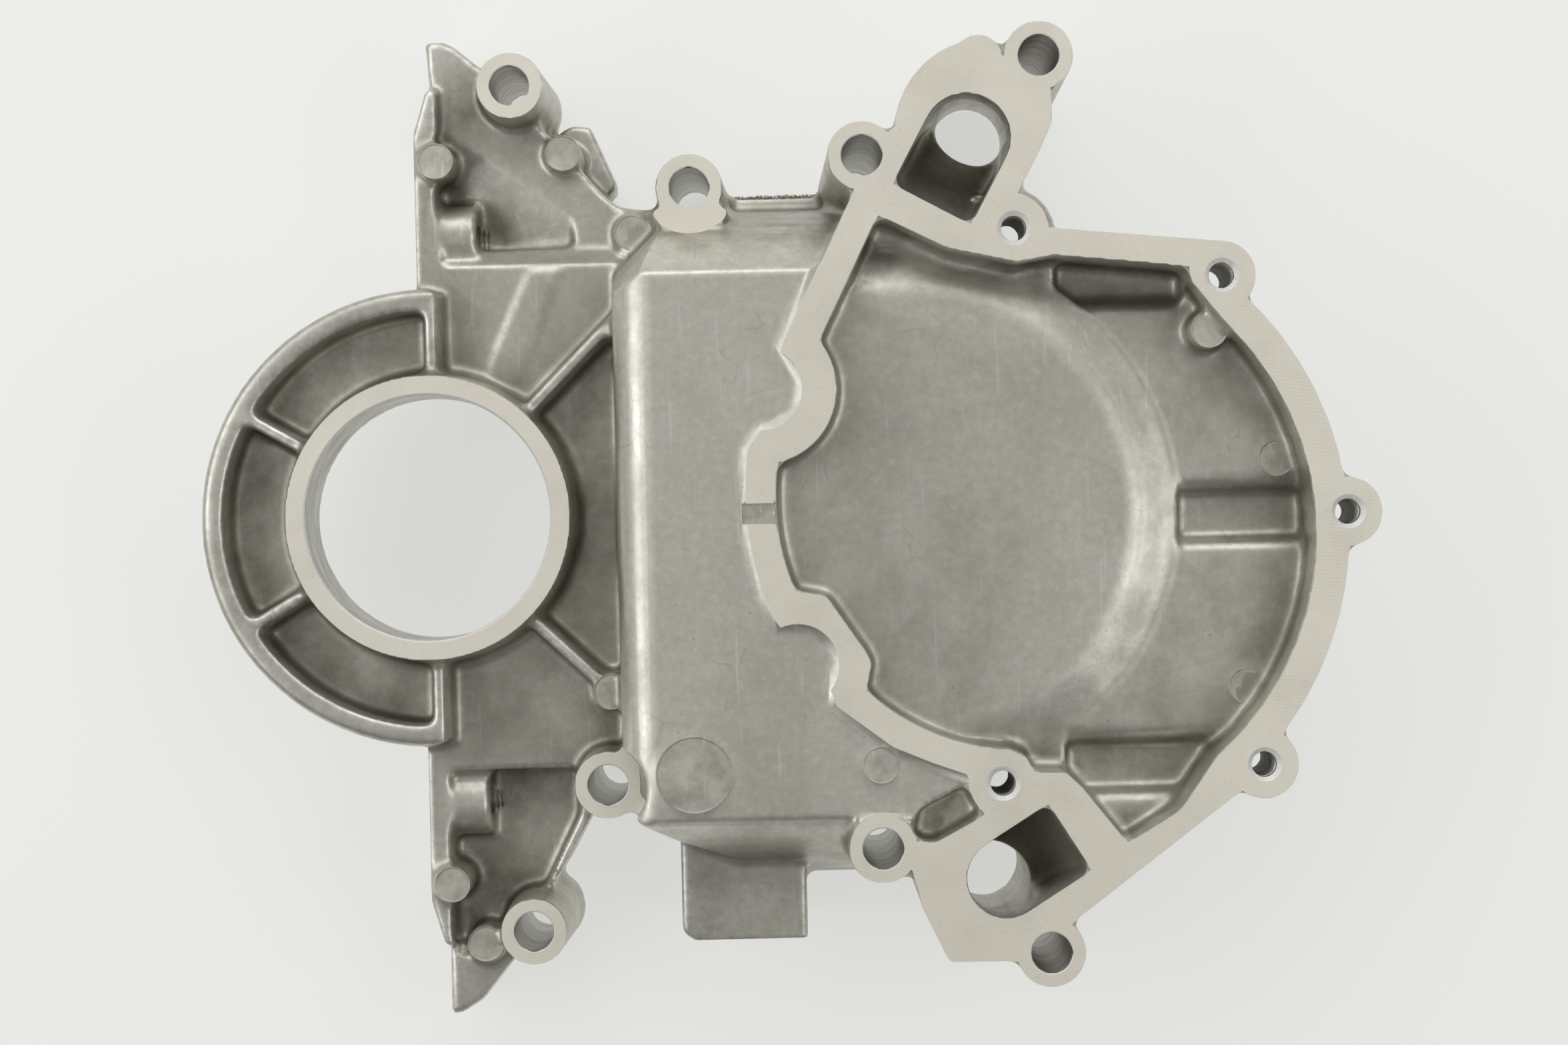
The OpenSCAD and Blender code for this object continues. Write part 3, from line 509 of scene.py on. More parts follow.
@dataclass
class LevelSet:
    """Rounds a closed mesh with narrow-band level sets.

    Args:
        voxel: size of a voxel in millimetres.
    """

    voxel: float = 0.65

    def grid(self, points: np.ndarray, faces: np.ndarray, band: float) -> openvdb.FloatGrid:
        """Distance field of a mesh.

        Args:
            points: corners in millimetres.
            faces: triangles or quads as corner numbers.
            band: distance that the field must reach.

        Returns:
            The distance field.
        """
        empty = np.zeros((0, 7 - faces.shape[1]), np.uint32)
        pair = (faces, empty) if faces.shape[1] == 3 else (empty, faces)
        return openvdb.FloatGrid.createLevelSetFromPolygons(
            points=points.astype(np.float32), triangles=pair[0].astype(np.uint32),
            quads=pair[1].astype(np.uint32), transform=openvdb.createLinearTransform(voxelSize=self.voxel),
            halfWidth=band / self.voxel + 2)

    def moved(self, points: np.ndarray, faces: np.ndarray, distance: float) -> tuple[np.ndarray, np.ndarray]:
        """Surface at a distance from a mesh.

        Args:
            points: corners in millimetres.
            faces: triangles or quads as corner numbers.
            distance: distance to the outside, or to the inside where it is negative.

        Returns:
            Corners and quads of the new surface.
        """
        field_of = self.grid(points, faces, abs(distance))
        corners, _, quads = field_of.convertToPolygons(isovalue=distance, adaptivity=0.0)
        return corners, quads[:, ::-1]

    def rounded(self, points: np.ndarray, faces: np.ndarray, hollow_r: float,
                edge_r: float) -> tuple[np.ndarray, np.ndarray]:
        """Mesh with its inner corners filled and its outer edges rounded.

        Args:
            points: corners in millimetres.
            faces: triangles as corner numbers.
            hollow_r: radius of the inner corners.
            edge_r: radius of the outer edges.

        Returns:
            Corners and quads of the rounded mesh.
        """
        points, faces = self.moved(points, faces, hollow_r)
        points, faces = self.moved(points, faces, -hollow_r - edge_r)
        return self.moved(points, faces, edge_r)

    def outward(self, points: np.ndarray, faces: np.ndarray, places: np.ndarray) -> np.ndarray:
        """Outward directions of a smooth mesh near its surface.

        Args:
            points: corners in millimetres.
            faces: triangles or quads as corner numbers.
            places: points to look at, near the mesh.

        Returns:
            One unit direction for each place.
        """
        values, low = self.dense(points, faces, 4 * self.voxel)
        at = places / self.voxel - low
        slope = np.empty_like(at)
        for axis in range(3):
            step = np.eye(3)[axis]
            slope[:, axis] = self.between(values, at + step) - self.between(values, at - step)
        return slope / np.maximum(np.linalg.norm(slope, axis=1, keepdims=True), 1e-6)

    def dense(self, points: np.ndarray, faces: np.ndarray, band: float) -> tuple[np.ndarray, np.ndarray]:
        """Distance field of a mesh as a full box of voxels.

        Args:
            points: corners in millimetres.
            faces: triangles or quads as corner numbers.
            band: distance that the field must reach.

        Returns:
            The box of distances, and the number of its first voxel along each axis.
        """
        field_of = self.grid(points, faces, band)
        low, high = (np.array(corner) for corner in field_of.evalActiveVoxelBoundingBox())
        low -= 3
        values = np.full(high - low + 4, field_of.background, np.float32)
        field_of.copyToArray(values, ijk=tuple(int(number) for number in low))
        return values, low

    @staticmethod
    def between(values: np.ndarray, at: np.ndarray) -> np.ndarray:
        """Reads a box of voxels at places between them.

        Args:
            values: box of voxels.
            at: places, counted in voxels from the first one.

        Returns:
            One value for each place.
        """
        at = np.clip(at, 0.0, np.array(values.shape) - 1.001)
        base = np.floor(at).astype(int)
        part = at - base
        total = np.zeros(len(at))
        for corner in np.ndindex(2, 2, 2):
            share = np.prod(np.where(corner, part, 1.0 - part), axis=1)
            x, y, z = (base + corner).T
            total += share * values[x, y, z]
        return total

    def distance_past(self, points: np.ndarray, faces: np.ndarray, radius: float, reach: float,
                      places: np.ndarray) -> np.ndarray:
        """How far places lie past the mesh after a ball has rolled along it.

        Args:
            points: corners in millimetres.
            faces: triangles as corner numbers.
            radius: radius of a ball on the outside, or of one on the inside where it is negative.
            reach: largest distance that is told apart.
            places: points to look at.

        Returns:
            Distance of each place in millimetres.
        """
        points, faces = self.moved(points, faces, radius)
        values, low = self.dense(points, faces, abs(radius) + reach)
        value = self.between(values, places / self.voxel - low)
        return np.clip(np.abs(value) - abs(radius), 0.0, reach)


class Lathe:
    """Makes closed turned cutters and pins."""

    @staticmethod
    def turned(profile: list[tuple[float, float]], origin: tuple[float, float, float],
               axis: tuple[float, float, float], slot: Finish, steps: int = 64,
               last: Finish | None = None) -> bmesh.types.BMesh:
        """Closed solid of revolution.

        Args:
            profile: radius and height pairs, from the first cap to the last.
            origin: place of height zero.
            axis: direction of growing height.
            slot: finish of its faces.
            steps: number of sides.
            last: finish of the last band, where it differs.

        Returns:
            The solid as a new bmesh, in millimetres.
        """
        bm = bmesh.new()
        turn = Vector((0, 0, 1)).rotation_difference(Vector(axis)).to_matrix().to_4x4()
        turn = Matrix.Translation(origin) @ turn
        rows = []
        for r, h in profile:
            ring = []
            for i in range(steps):
                angle = 2 * math.pi * i / steps
                ring.append(bm.verts.new(turn @ Vector((r * math.cos(angle), r * math.sin(angle), h))))
            rows.append(ring)
        for low, high in zip(rows, rows[1:]):
            kind = last if last and high is rows[-1] else slot
            for i in range(steps):
                j = (i + 1) % steps
                bm.faces.new((low[i], low[j], high[j], high[i])).material_index = kind.value
        for cap in (reversed(rows[0]), rows[-1]):
            bm.faces.new(cap).material_index = slot.value
        return bm

    @staticmethod
    def thread(r: float, low: float, high: float, pitch: float = 1.25) -> list[tuple[float, float]]:
        """Profile of a tapped hole.

        Args:
            r: minor radius.
            low: height where it starts.
            high: height where it ends.
            pitch: height of one turn.

        Returns:
            Radius and height pairs.
        """
        profile = [(r, low)]
        for i in range(int((high - low) / pitch)):
            z = low + i * pitch
            profile += [(r, z + 0.1), (r + 0.6, z + pitch / 2), (r, z + pitch - 0.1)]
        return profile + [(r, high)]

    @staticmethod
    def block(low: tuple[float, float, float], high: tuple[float, float, float],
              slot: Finish) -> bmesh.types.BMesh:
        """Closed box.

        Args:
            low: its lowest corner.
            high: its highest corner.
            slot: finish of its faces.

        Returns:
            The box as a new bmesh, in millimetres.
        """
        bm = bmesh.new()
        size = Vector(high) - Vector(low)
        middle = (Vector(high) + Vector(low)) / 2
        bmesh.ops.create_cube(bm, size=1.0, matrix=Matrix.Translation(middle) @ Matrix.Diagonal((*size, 1.0)))
        for face in bm.faces:
            face.material_index = slot.value
        return bm


class NodeTree:
    """Geometry node tree with named inputs, for what repeats on the casting."""

    def __init__(self, name: str) -> None:
        """Makes an empty tree that takes and gives a geometry.

        Args:
            name: name of the tree.
        """
        self.tree = bpy.data.node_groups.new(name, "GeometryNodeTree")
        self.ids: dict[str, str] = {}
        self.socket("Geometry", "NodeSocketGeometry")
        self.tree.interface.new_socket("Geometry", in_out="OUTPUT", socket_type="NodeSocketGeometry")
        self.start = self.tree.nodes.new("NodeGroupInput")
        self.end = self.tree.nodes.new("NodeGroupOutput")

    def socket(self, name: str, kind: str) -> None:
        """Adds a named input."""
        made = self.tree.interface.new_socket(name, in_out="INPUT", socket_type=kind)
        self.ids[name] = made.identifier

    def add(self, kind: str, **inputs: Feed) -> bpy.types.Node:
        """Adds a node.

        Args:
            kind: node type.
            inputs: values or sockets by input name, with spaces as underscores.

        Returns:
            The new node.
        """
        node = self.tree.nodes.new(kind)
        for key, value in inputs.items():
            socket = node.inputs[key.replace("_", " ")]
            if isinstance(value, bpy.types.NodeSocket):
                self.tree.links.new(value, socket)
            else:
                socket.default_value = value
        return node

    def close(self, instances: bpy.types.NodeSocket, finish: bpy.types.NodeSocket) -> None:
        """Realizes instances, sets their material and joins them to the output."""
        real = self.add("GeometryNodeRealizeInstances", Geometry=instances)
        done = self.add("GeometryNodeSetMaterial", Geometry=real.outputs["Geometry"], Material=finish)
        self.tree.links.new(done.outputs["Geometry"], self.end.inputs["Geometry"])

    def run(self, name: str, points: list[tuple[float, float, float]], edges: list[tuple[int, int]],
            **inputs: object) -> bpy.types.Object:
        """Runs the tree on points and gives its plain result.

        Args:
            name: name of the new object.
            points: places in millimetres.
            edges: pairs of point numbers.
            inputs: values of the tree's inputs by name.

        Returns:
            A new object that holds the result as a plain mesh.
        """
        mesh = bpy.data.meshes.new(name)
        mesh.from_pydata(points, edges, [])
        piece = bpy.data.objects.new(name, mesh)
        modifier = piece.modifiers.new("tree", "NODES")
        modifier.node_group = self.tree
        for key, value in inputs.items():
            modifier[self.ids[key]] = value
        bpy.context.scene.collection.objects.link(piece)
        settle(piece)
        return piece


def settle(piece: bpy.types.Object) -> None:
    """Turns the modifiers of a piece into plain mesh."""
    graph = bpy.context.evaluated_depsgraph_get()
    mesh = bpy.data.meshes.new_from_object(piece.evaluated_get(graph))
    piece.modifiers.clear()
    old = piece.data
    piece.data = mesh
    bpy.data.meshes.remove(old)


def drop(piece: bpy.types.Object) -> None:
    """Removes a piece that was only a tool, with its mesh."""
    mesh = piece.data
    bpy.data.objects.remove(piece)
    bpy.data.meshes.remove(mesh)


class PinField:
    """Ejector pins repeated over the casting, each with a thin burr round its edge."""

    def __init__(self) -> None:
        """Builds the tree that sets one pin on every point."""
        self.tree = NodeTree("pin_field")
        self.tree.socket("Pin", "NodeSocketObject")
        self.tree.socket("Finish", "NodeSocketMaterial")
        start = self.tree.start.outputs
        pin = self.tree.add("GeometryNodeObjectInfo", Object=start["Pin"])
        copies = self.tree.add("GeometryNodeInstanceOnPoints", Points=start["Geometry"],
                               Instance=pin.outputs["Geometry"])
        self.tree.close(copies.outputs["Instances"], start["Finish"])

    def build(self, places: tuple[Boss, ...], r: float, finish: bpy.types.Material) -> bpy.types.Object:
        """Makes the pins of one size.

        Args:
            places: tops of the pins.
            r: radius of a pin.
            finish: material of the pins.

        Returns:
            The pins as one object, in millimetres.
        """
        profile = [(r - 0.3, -3.0), (r, -3.0), (r, 0.08), (r - 0.12, 0.26), (r - 0.32, 0.24), (r - 0.55, 0.0),
                   (0.05, 0.0)]
        solid = Lathe.turned(profile, (0, 0, 0), (0, 0, 1), Finish.CAST, 48)
        mesh = bpy.data.meshes.new("pin")
        solid.to_mesh(mesh)
        solid.free()
        pin = bpy.data.objects.new("pin", mesh)
        bpy.context.scene.collection.objects.link(pin)
        field_of = self.tree.run("pins", [(b.x, b.y, b.z) for b in places], [], Pin=pin, Finish=finish)
        field_of.data.polygons.foreach_set("material_index", [Finish.PIN.value] * len(field_of.data.polygons))
        drop(pin)
        return field_of


@dataclass(frozen=True)
class BurrRow:
    """One row of torn lumps.

    Args:
        points: corners of the line that it follows, in millimetres.
        spacing: distance between lumps.
        size: radius of a lump.
        seed: seed of the lumps' sizes and turns.
    """

    points: tuple[tuple[float, float, float], ...]
    spacing: float
    size: float
    seed: int


def arc(r: float, first: int, last: int, step: int, z: float) -> tuple[tuple[float, float, float], ...]:
    """Points on an arc round the crankshaft axis.

    Args:
        r: radius in millimetres.
        first: first angle in degrees.
        last: angle that it stops before.
        step: angle between points.
        z: height.

    Returns:
        The points in order.
    """
    angles = [math.radians(angle) for angle in range(first, last, step)]
    return tuple((r * math.cos(angle), r * math.sin(angle), z) for angle in angles)


@dataclass
class Burrs:
    """Small torn lumps left along raw edges of the casting.

    Args:
        rows: the half-round's edge and the strip above the case.
    """

    rows: tuple[BurrRow, ...] = (
        BurrRow(arc(63.0, 108, 256, 4, 24.4), 1.1, 0.42, 3),
        BurrRow(((84.5, 91.3, 7.2), (95.0, 91.5, 7.4), (112.0, 91.4, 7.2)), 0.8, 0.75, 8),
    )

    def tree(self) -> NodeTree:
        """Tree that strews turned lumps of mixed size along a line."""
        made = NodeTree("burr_row")
        made.socket("Spacing", "NodeSocketFloat")
        made.socket("Size", "NodeSocketFloat")
        made.socket("Seed", "NodeSocketInt")
        made.socket("Finish", "NodeSocketMaterial")
        start = made.start.outputs
        line = made.add("GeometryNodeMeshToCurve", Mesh=start["Geometry"])
        row = made.add("GeometryNodeResampleCurve", Curve=line.outputs["Curve"])
        row.mode = "LENGTH"
        made.tree.links.new(start["Spacing"], next(i for i in row.inputs if i.name == "Length"))
        lump = made.add("GeometryNodeMeshIcoSphere", Radius=start["Size"], Subdivisions=1)
        size = made.add("FunctionNodeRandomValue", Seed=start["Seed"])
        size.data_type = "FLOAT_VECTOR"
        size.inputs[0].default_value = (0.35, 0.35, 0.3)
        size.inputs[1].default_value = (1.25, 1.25, 1.0)
        turn = made.add("FunctionNodeRandomValue", Seed=start["Seed"])
        turn.data_type = "FLOAT_VECTOR"
        turn.inputs[1].default_value = (6.28, 6.28, 6.28)
        copies = made.add("GeometryNodeInstanceOnPoints", Points=row.outputs["Curve"],
                          Instance=lump.outputs["Mesh"])
        made.tree.links.new(size.outputs[0], copies.inputs["Scale"])
        made.tree.links.new(turn.outputs[0], copies.inputs["Rotation"])
        made.close(copies.outputs["Instances"], start["Finish"])
        return made

    def build(self, finish: bpy.types.Material) -> bpy.types.Object:
        """Makes all rows as one piece.

        Args:
            finish: material of the lumps.

        Returns:
            The finished piece, riding on the body.
        """
        tree = self.tree()
        joined = bmesh.new()
        for row in self.rows:
            edges = [(i, i + 1) for i in range(len(row.points) - 1)]
            lumps = tree.run("row", list(row.points), edges, Spacing=row.spacing, Size=row.size,
                             Seed=row.seed, Finish=finish)
            joined.from_mesh(lumps.data)
            drop(lumps)
        mesh = bpy.data.meshes.new("timing_cover_burrs")
        joined.to_mesh(mesh)
        joined.free()
        mesh.transform(Matrix.Scale(MM, 4))
        mesh.materials.append(finish)
        piece = bpy.data.objects.new("timing_cover_burrs", mesh)
        bpy.context.scene.collection.objects.link(piece)
        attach(piece, BODY)
        log.info("burrs: %d faces", len(mesh.polygons))
        return piece


def array_of(rows: bpy.types.bpy_prop_collection, name: str, width: int = 3,
             kind: type = np.float32) -> np.ndarray:
    """Plain array of one property of a mesh's corners, edges or faces.

    Args:
        rows: the mesh's corners, loops, faces or corner normals.
        name: name of the property.
        width: how many numbers each row has.
        kind: kind of the numbers.

    Returns:
        One row for each item, or one number where the width is 1.
    """
    values = np.empty(len(rows) * width, kind)
    rows.foreach_get(name, values)
    return values.reshape(-1, width) if width > 1 else values


@dataclass(frozen=True)
class StainWearAndPaintedLightSizes:
    """Balls that are rolled along the casting to find its hollows, for stains and painted shade, and its
    edges, for worn spots and painted highlights, in millimetres.

    Args:
        hollow_voxel: voxel of the hollows' field.
        hollow_ball: radius of the ball outside, which can't reach into a hollow.
        hollow_reach: deepest hollow that is told apart.
        hollow_full: depth with the full stains and painted shade.
        edge_voxel: voxel of the edges' field.
        edge_ball: radius of the ball inside, which can't reach into an edge.
        edge_full: height of an edge past its ball that is fully worn and has the full painted highlight.
    """

    hollow_voxel: float = 1.6
    hollow_ball: float = 14.0
    hollow_reach: float = 12.0
    hollow_full: float = 8.0
    edge_voxel: float = 0.7
    edge_ball: float = 1.5
    edge_full: float = 0.35


@dataclass
class Casting:
    """The cover itself: cast, milled, drilled and dressed.

    Args:
        sizes: sizes of the cover.
        stock: metal left on the milled planes before they are milled.
        fillet_r: radius of the inner corners.
        edge_r: radius of the outer edges.
        triangles: number of triangles kept in the cast skin.
        sharp_angle: angle over which an edge is drawn sharp.
        smooth_cos: cosine of the angle up to which the rounded skin leads the shading.
        far_centre: centre of the wide cutter's arcs.
        port_stain_and_shade: share of the hollows' stains and painted shade that shows in the two ports.
        stain_wear_and_painted_light: balls that find hollows, for stains and painted shade, and edges, for
            worn spots and painted highlights.
        level: level set that rounds the skin.
    """

    sizes: CoverSizes = field(default_factory=CoverSizes)
    stock: float = 0.7
    fillet_r: float = 1.8
    edge_r: float = 0.9
    triangles: int = 140000
    sharp_angle: float = math.radians(40)
    smooth_cos: float = math.cos(math.radians(38))
    far_centre: tuple[float, float, float] = (265.0, 290.0, 68.0)
    # Share of the stains and painted shade of the hollows that shows in the two ports.
    port_stain_and_shade: float = 0.25
    stain_wear_and_painted_light: StainWearAndPaintedLightSizes = field(default_factory=StainWearAndPaintedLightSizes)
    level: LevelSet = field(default_factory=LevelSet)

    def solid(self) -> tuple[np.ndarray, np.ndarray]:
        """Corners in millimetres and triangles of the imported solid."""
        bm = bmesh.new()
        bm.from_mesh(frame["nodes"][NODE].data)
        bmesh.ops.remove_doubles(bm, verts=bm.verts, dist=1e-6)
        bmesh.ops.triangulate(bm, faces=bm.faces)
        bm.verts.index_update()
        points = np.array([v.co for v in bm.verts]) / MM
        faces = np.array([[v.index for v in f.verts] for f in bm.faces])
        bm.free()
        return points, faces

    def with_stock(self, points: np.ndarray) -> np.ndarray:
        """Corners with the milled planes moved out by the stock.

        Args:
            points: corners in millimetres.

        Returns:
            The moved corners.
        """
        s = self.sizes
        near = 0.02
        x, y, z = points.T
        raised = np.abs(z - s.pump_face) < near
        raised |= (np.abs(z - s.ring_front) < near) & (np.hypot(x, y) < s.ring_r + 2)
        for boss in s.bolts:
            raised |= (np.abs(z - boss.z) < near) & (np.hypot(x - boss.x, y - boss.y) < boss.r + near)
        moved = points.copy()
        moved[raised, 2] += self.stock
        moved[np.abs(z) < near, 2] -= self.stock
        moved[np.abs(x - s.rail_x) < near, 0] -= self.stock
        moved[np.abs(y - s.pad_y) < near, 1] -= self.stock
        return moved

    @staticmethod
    def object_of(name: str, points: np.ndarray, triangles: np.ndarray) -> bpy.types.Object:
        """New object from plain arrays.

        Args:
            name: name of the object.
            points: corners in millimetres.
            triangles: triangles as corner numbers.

        Returns:
            The new object, linked to the scene.
        """
        mesh = bpy.data.meshes.new(name)
        mesh.vertices.add(len(points))
        mesh.vertices.foreach_set("co", points.astype(np.float32).ravel())
        mesh.loops.add(triangles.size)
        mesh.loops.foreach_set("vertex_index", triangles.astype(np.int32).ravel())
        mesh.polygons.add(len(triangles))
        mesh.polygons.foreach_set("loop_start", np.arange(len(triangles), dtype=np.int32) * 3)
        mesh.update(calc_edges=True)
        piece = bpy.data.objects.new(name, mesh)
        bpy.context.scene.collection.objects.link(piece)
        return piece

    def soft_dome(self, points: np.ndarray) -> np.ndarray:
        """Corners of the skin with the straight slope of the dome turned into a soft one.

        Args:
            points: corners in millimetres.

        Returns:
            The moved corners.
        """
        s = self.sizes
        r = np.hypot(points[:, 0] - s.dome_x, points[:, 1] - s.dome_y)
        rise = s.dome_top - s.dome_foot
        first, last = s.dome_soft
        slope = s.dome_top - rise * np.clip((r - s.dome_top_r) / (s.dome_foot_r - s.dome_top_r), 0.0, 1.0)
        turn = np.pi * np.clip((r - first) / (last - first), 0.0, 1.0)
        soft = s.dome_foot + rise * (1.0 + np.cos(turn)) / 2
        share = np.clip((2.6 - np.abs(points[:, 2] - slope)) / 1.6, 0.0, 1.0) * (r < last)
        moved = points.copy()
        moved[:, 2] += share * (soft - slope)
        return moved

    def skin(self, corners: np.ndarray, quads: np.ndarray) -> bpy.types.Object:
        """Cast skin thinned to its triangle count.

        Args:
            corners: corners of the rounded skin in millimetres.
            quads: its quads.

        Returns:
            The skin as a new object, in millimetres.
        """
        triangles = np.concatenate([quads[:, [0, 1, 2]], quads[:, [0, 2, 3]]])
        piece = self.object_of("timing_cover_casting", corners, triangles)
        thin = piece.modifiers.new("thin", "DECIMATE")
        thin.ratio = min(1.0, self.triangles / len(triangles))
        settle(piece)
        return piece

    @staticmethod
    def combine(piece: bpy.types.Object, tool: bpy.types.Object, operation: str) -> None:
        """Changes a piece by a closed tool and removes the tool.

        Args:
            piece: the piece to change.
            tool: closed object in the same place.
            operation: DIFFERENCE or UNION.
        """
        modifier = piece.modifiers.new("cut", "BOOLEAN")
        modifier.solver = "MANIFOLD"
        modifier.operation = operation
        modifier.object = tool
        settle(piece)
        drop(tool)

    @staticmethod
    def tool_of(solids: list[bmesh.types.BMesh], materials: list[bpy.types.Material]) -> bpy.types.Object:
        """Joins cutters into one tool.

        Args:
            solids: closed solids that don't overlap. They are used up.
            materials: materials of the casting.

        Returns:
            The tool as a new object.
        """
        mesh = bpy.data.meshes.new("tool")
        joined = bmesh.new()
        for solid in solids:
            solid.to_mesh(mesh)
            joined.from_mesh(mesh)
            solid.free()
        joined.to_mesh(mesh)
        joined.free()
        for material in materials:
            mesh.materials.append(material)
        tool = bpy.data.objects.new("tool", mesh)
        bpy.context.scene.collection.objects.link(tool)
        return tool

    def face_surround(self, points: np.ndarray, faces: np.ndarray,
                      materials: list[bpy.types.Material]) -> bpy.types.Object:
        """Space just under the pump face and outside the solid, which keeps the face's outline crisp.

        Args:
            points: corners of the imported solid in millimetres, with stock.
            faces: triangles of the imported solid.
            materials: materials of the casting.

        Returns:
            The space as a closed tool.
        """
        s = self.sizes
        slab = Lathe.block((-200, -300, s.panel + 0.06), (400, 300, s.pump_face + 0.4), Finish.CAST)
        tool = self.tool_of([slab], materials)
        self.combine(tool, self.object_of("solid", points, faces), "DIFFERENCE")
        return tool

    def mills(self) -> list[bmesh.types.BMesh]:
        """Cutters of the milled planes and the bolt seats."""
        s = self.sizes
        far = 400.0
        top = s.pump_face
        slot = Finish.MILLED
        solids = [
            Lathe.block((-far, -far, top), (far, far, top + 20), slot),
            Lathe.block((-far, -far, -20), (far, far, 0), slot),
            Lathe.block((-20, 64, 0.5), (s.rail_x, 200, 60), slot),
            Lathe.block((-20, -200, 0.5), (s.rail_x, -64, 60), slot),
            Lathe.block((55, -140, 0.5), (110, s.pad_y, 60), slot),
            Lathe.turned([(s.ring_r + 3, 0), (s.ring_r + 3, 10)], (0, 0, s.ring_front), (0, 0, 1), slot, 96),
        ]
        for boss in s.bolts:
            if boss.z < top:
                depth = top - boss.z - 0.2
                place = (boss.x, boss.y, boss.z)
                solids.append(Lathe.turned([(boss.r, 0), (boss.r, depth)], place, (0, 0, 1), slot, 96))
        return solids

    def drills(self) -> list[bmesh.types.BMesh]:
        """Cutters of the seal bore, the bolt holes, the tapped holes and the key notch."""
        s = self.sizes
        up = (0, 0, 1)
        slot = Finish.BORED
        pale = Finish.RIM
        c = s.seal_chamfer
        depth = s.ring_front - s.ring_back
        wide = s.seal_r + 0.03
        bore = [(wide, -5), (wide, depth - c), (wide + c + 2, depth + 2)]
        solids = [Lathe.turned(bore, (0, 0, s.ring_back), up, slot, 160, pale)]
        hole = s.bolt_r + 0.03
        for boss in s.bolts:
            profile = [(hole, -5), (hole, boss.z - 0.3), (hole + 2.3, boss.z + 2)]
            solids.append(Lathe.turned(profile, (boss.x, boss.y, 0), up, slot, 64, pale))
        r = s.tap_r
        mouth = s.tap_mouth_r
        for tap in s.taps:
            profile = Lathe.thread(r, s.flange_back - 3, tap.z - mouth + r) + [(mouth + 2, tap.z + 2)]
            solids.append(Lathe.turned(profile, (tap.x, tap.y, 0), up, slot, 32, pale))
        for y in s.pan_tap_y:
            profile = Lathe.thread(r, -3, s.pan_tap_end - s.rail_x + 3)
            solids.append(Lathe.turned(profile, (s.rail_x, y, s.pan_tap_z), (1, 0, 0), slot, 32))
        for z in s.pad_tap_z:
            profile = Lathe.thread(r, -3, s.pad_tap_depth)
            solids.append(Lathe.turned(profile, (s.pad_tap_x, s.pad_y, z), (0, 1, 0), slot, 32))
        low = Vector(s.key_corner)
        solids.append(Lathe.block(low, low + Vector(s.key_size), Finish.PIN))
        return solids

    def mark(self, mesh: bpy.types.Mesh, points: np.ndarray, faces: np.ndarray) -> None:
        """Stores how deep places lie in hollows, for stains and painted shade, and how far they stand out on
        edges, for worn spots and painted highlights.

        Args:
            mesh: mesh of the finished casting, in millimetres.
            points: corners of the rounded skin in millimetres.
            faces: its quads.
        """
        w = self.stain_wear_and_painted_light
        places = array_of(mesh.vertices, "co")
        hollows = LevelSet(w.hollow_voxel)
        depth = hollows.distance_past(points, faces, w.hollow_ball, w.hollow_reach, places)
        # Less painted shade and fewer stains in the two ports.
        for port in self.sizes.ports:
            depth[np.hypot(places[:, 0] - port.x, places[:, 1] - port.y) < port.r] *= self.port_stain_and_shade
        edge = LevelSet(w.edge_voxel).distance_past(points, faces, -w.edge_ball, w.edge_ball, places)
        for name, value in (("cavity", depth / w.hollow_full), ("edge", edge / w.edge_full)):
            store = mesh.attributes.new(name, "FLOAT", "POINT")
            store.data.foreach_set("value", np.clip(value, 0.0, 1.0).astype(np.float32))

    def mark_arcs(self, mesh: bpy.types.Mesh) -> None:
        """Stores the centre of the milling arcs on each face of the mesh."""
        s = self.sizes
        middle = array_of(mesh.polygons, "center")
        centre = np.tile(np.array(self.far_centre, np.float32), (len(middle), 1))
        for boss in s.bolts:
            if boss.z < s.pump_face:
                near = np.hypot(middle[:, 0] - boss.x, middle[:, 1] - boss.y) < boss.r + 0.1
                centre[near] = (boss.x, boss.y, boss.z)
        store = mesh.attributes.new("mill_centre", "FLOAT_VECTOR", "FACE")
        store.data.foreach_set("vector", (centre * MM).astype(np.float32).ravel())

    def sharpen(self, mesh: bpy.types.Mesh) -> None:
        """Sets flat milled faces, and sharp edges at corners and between finishes."""
        mesh.shade_smooth()
        mesh.set_sharp_from_angle(angle=self.sharp_angle)
        bm = bmesh.new()
        bm.from_mesh(mesh)
        for face in bm.faces:
            face.smooth = face.material_index != Finish.MILLED.value
        for edge in bm.edges:
            kinds = {face.material_index for face in edge.link_faces}
            if len(kinds) > 1:
                edge.smooth = False
        bm.to_mesh(mesh)
        bm.free()

    def shade(self, mesh: bpy.types.Mesh, corners: np.ndarray, quads: np.ndarray) -> None:
        """Shades the cast skin by its smooth shape, where it lies near that shape.

        Args:
            mesh: mesh of the finished casting, in millimetres.
            corners: corners of the rounded skin in millimetres.
            quads: its quads.
        """
        normals = array_of(mesh.corner_normals, "vector")
        kinds = array_of(mesh.polygons, "material_index", 1, np.int32)
        sides = array_of(mesh.polygons, "loop_total", 1, np.int32)
        ends = array_of(mesh.loops, "vertex_index", 1, np.int32)
        smooth = self.level.outward(corners, quads, array_of(mesh.vertices, "co"))[ends]
        flat = np.repeat(array_of(mesh.polygons, "normal"), sides, axis=0)
        near = np.sum(smooth * flat, axis=1) > self.smooth_cos
        chosen = near & (np.repeat(kinds, sides) == Finish.CAST.value)
        normals[chosen] = smooth[chosen]
        mesh.normals_split_custom_set(normals)

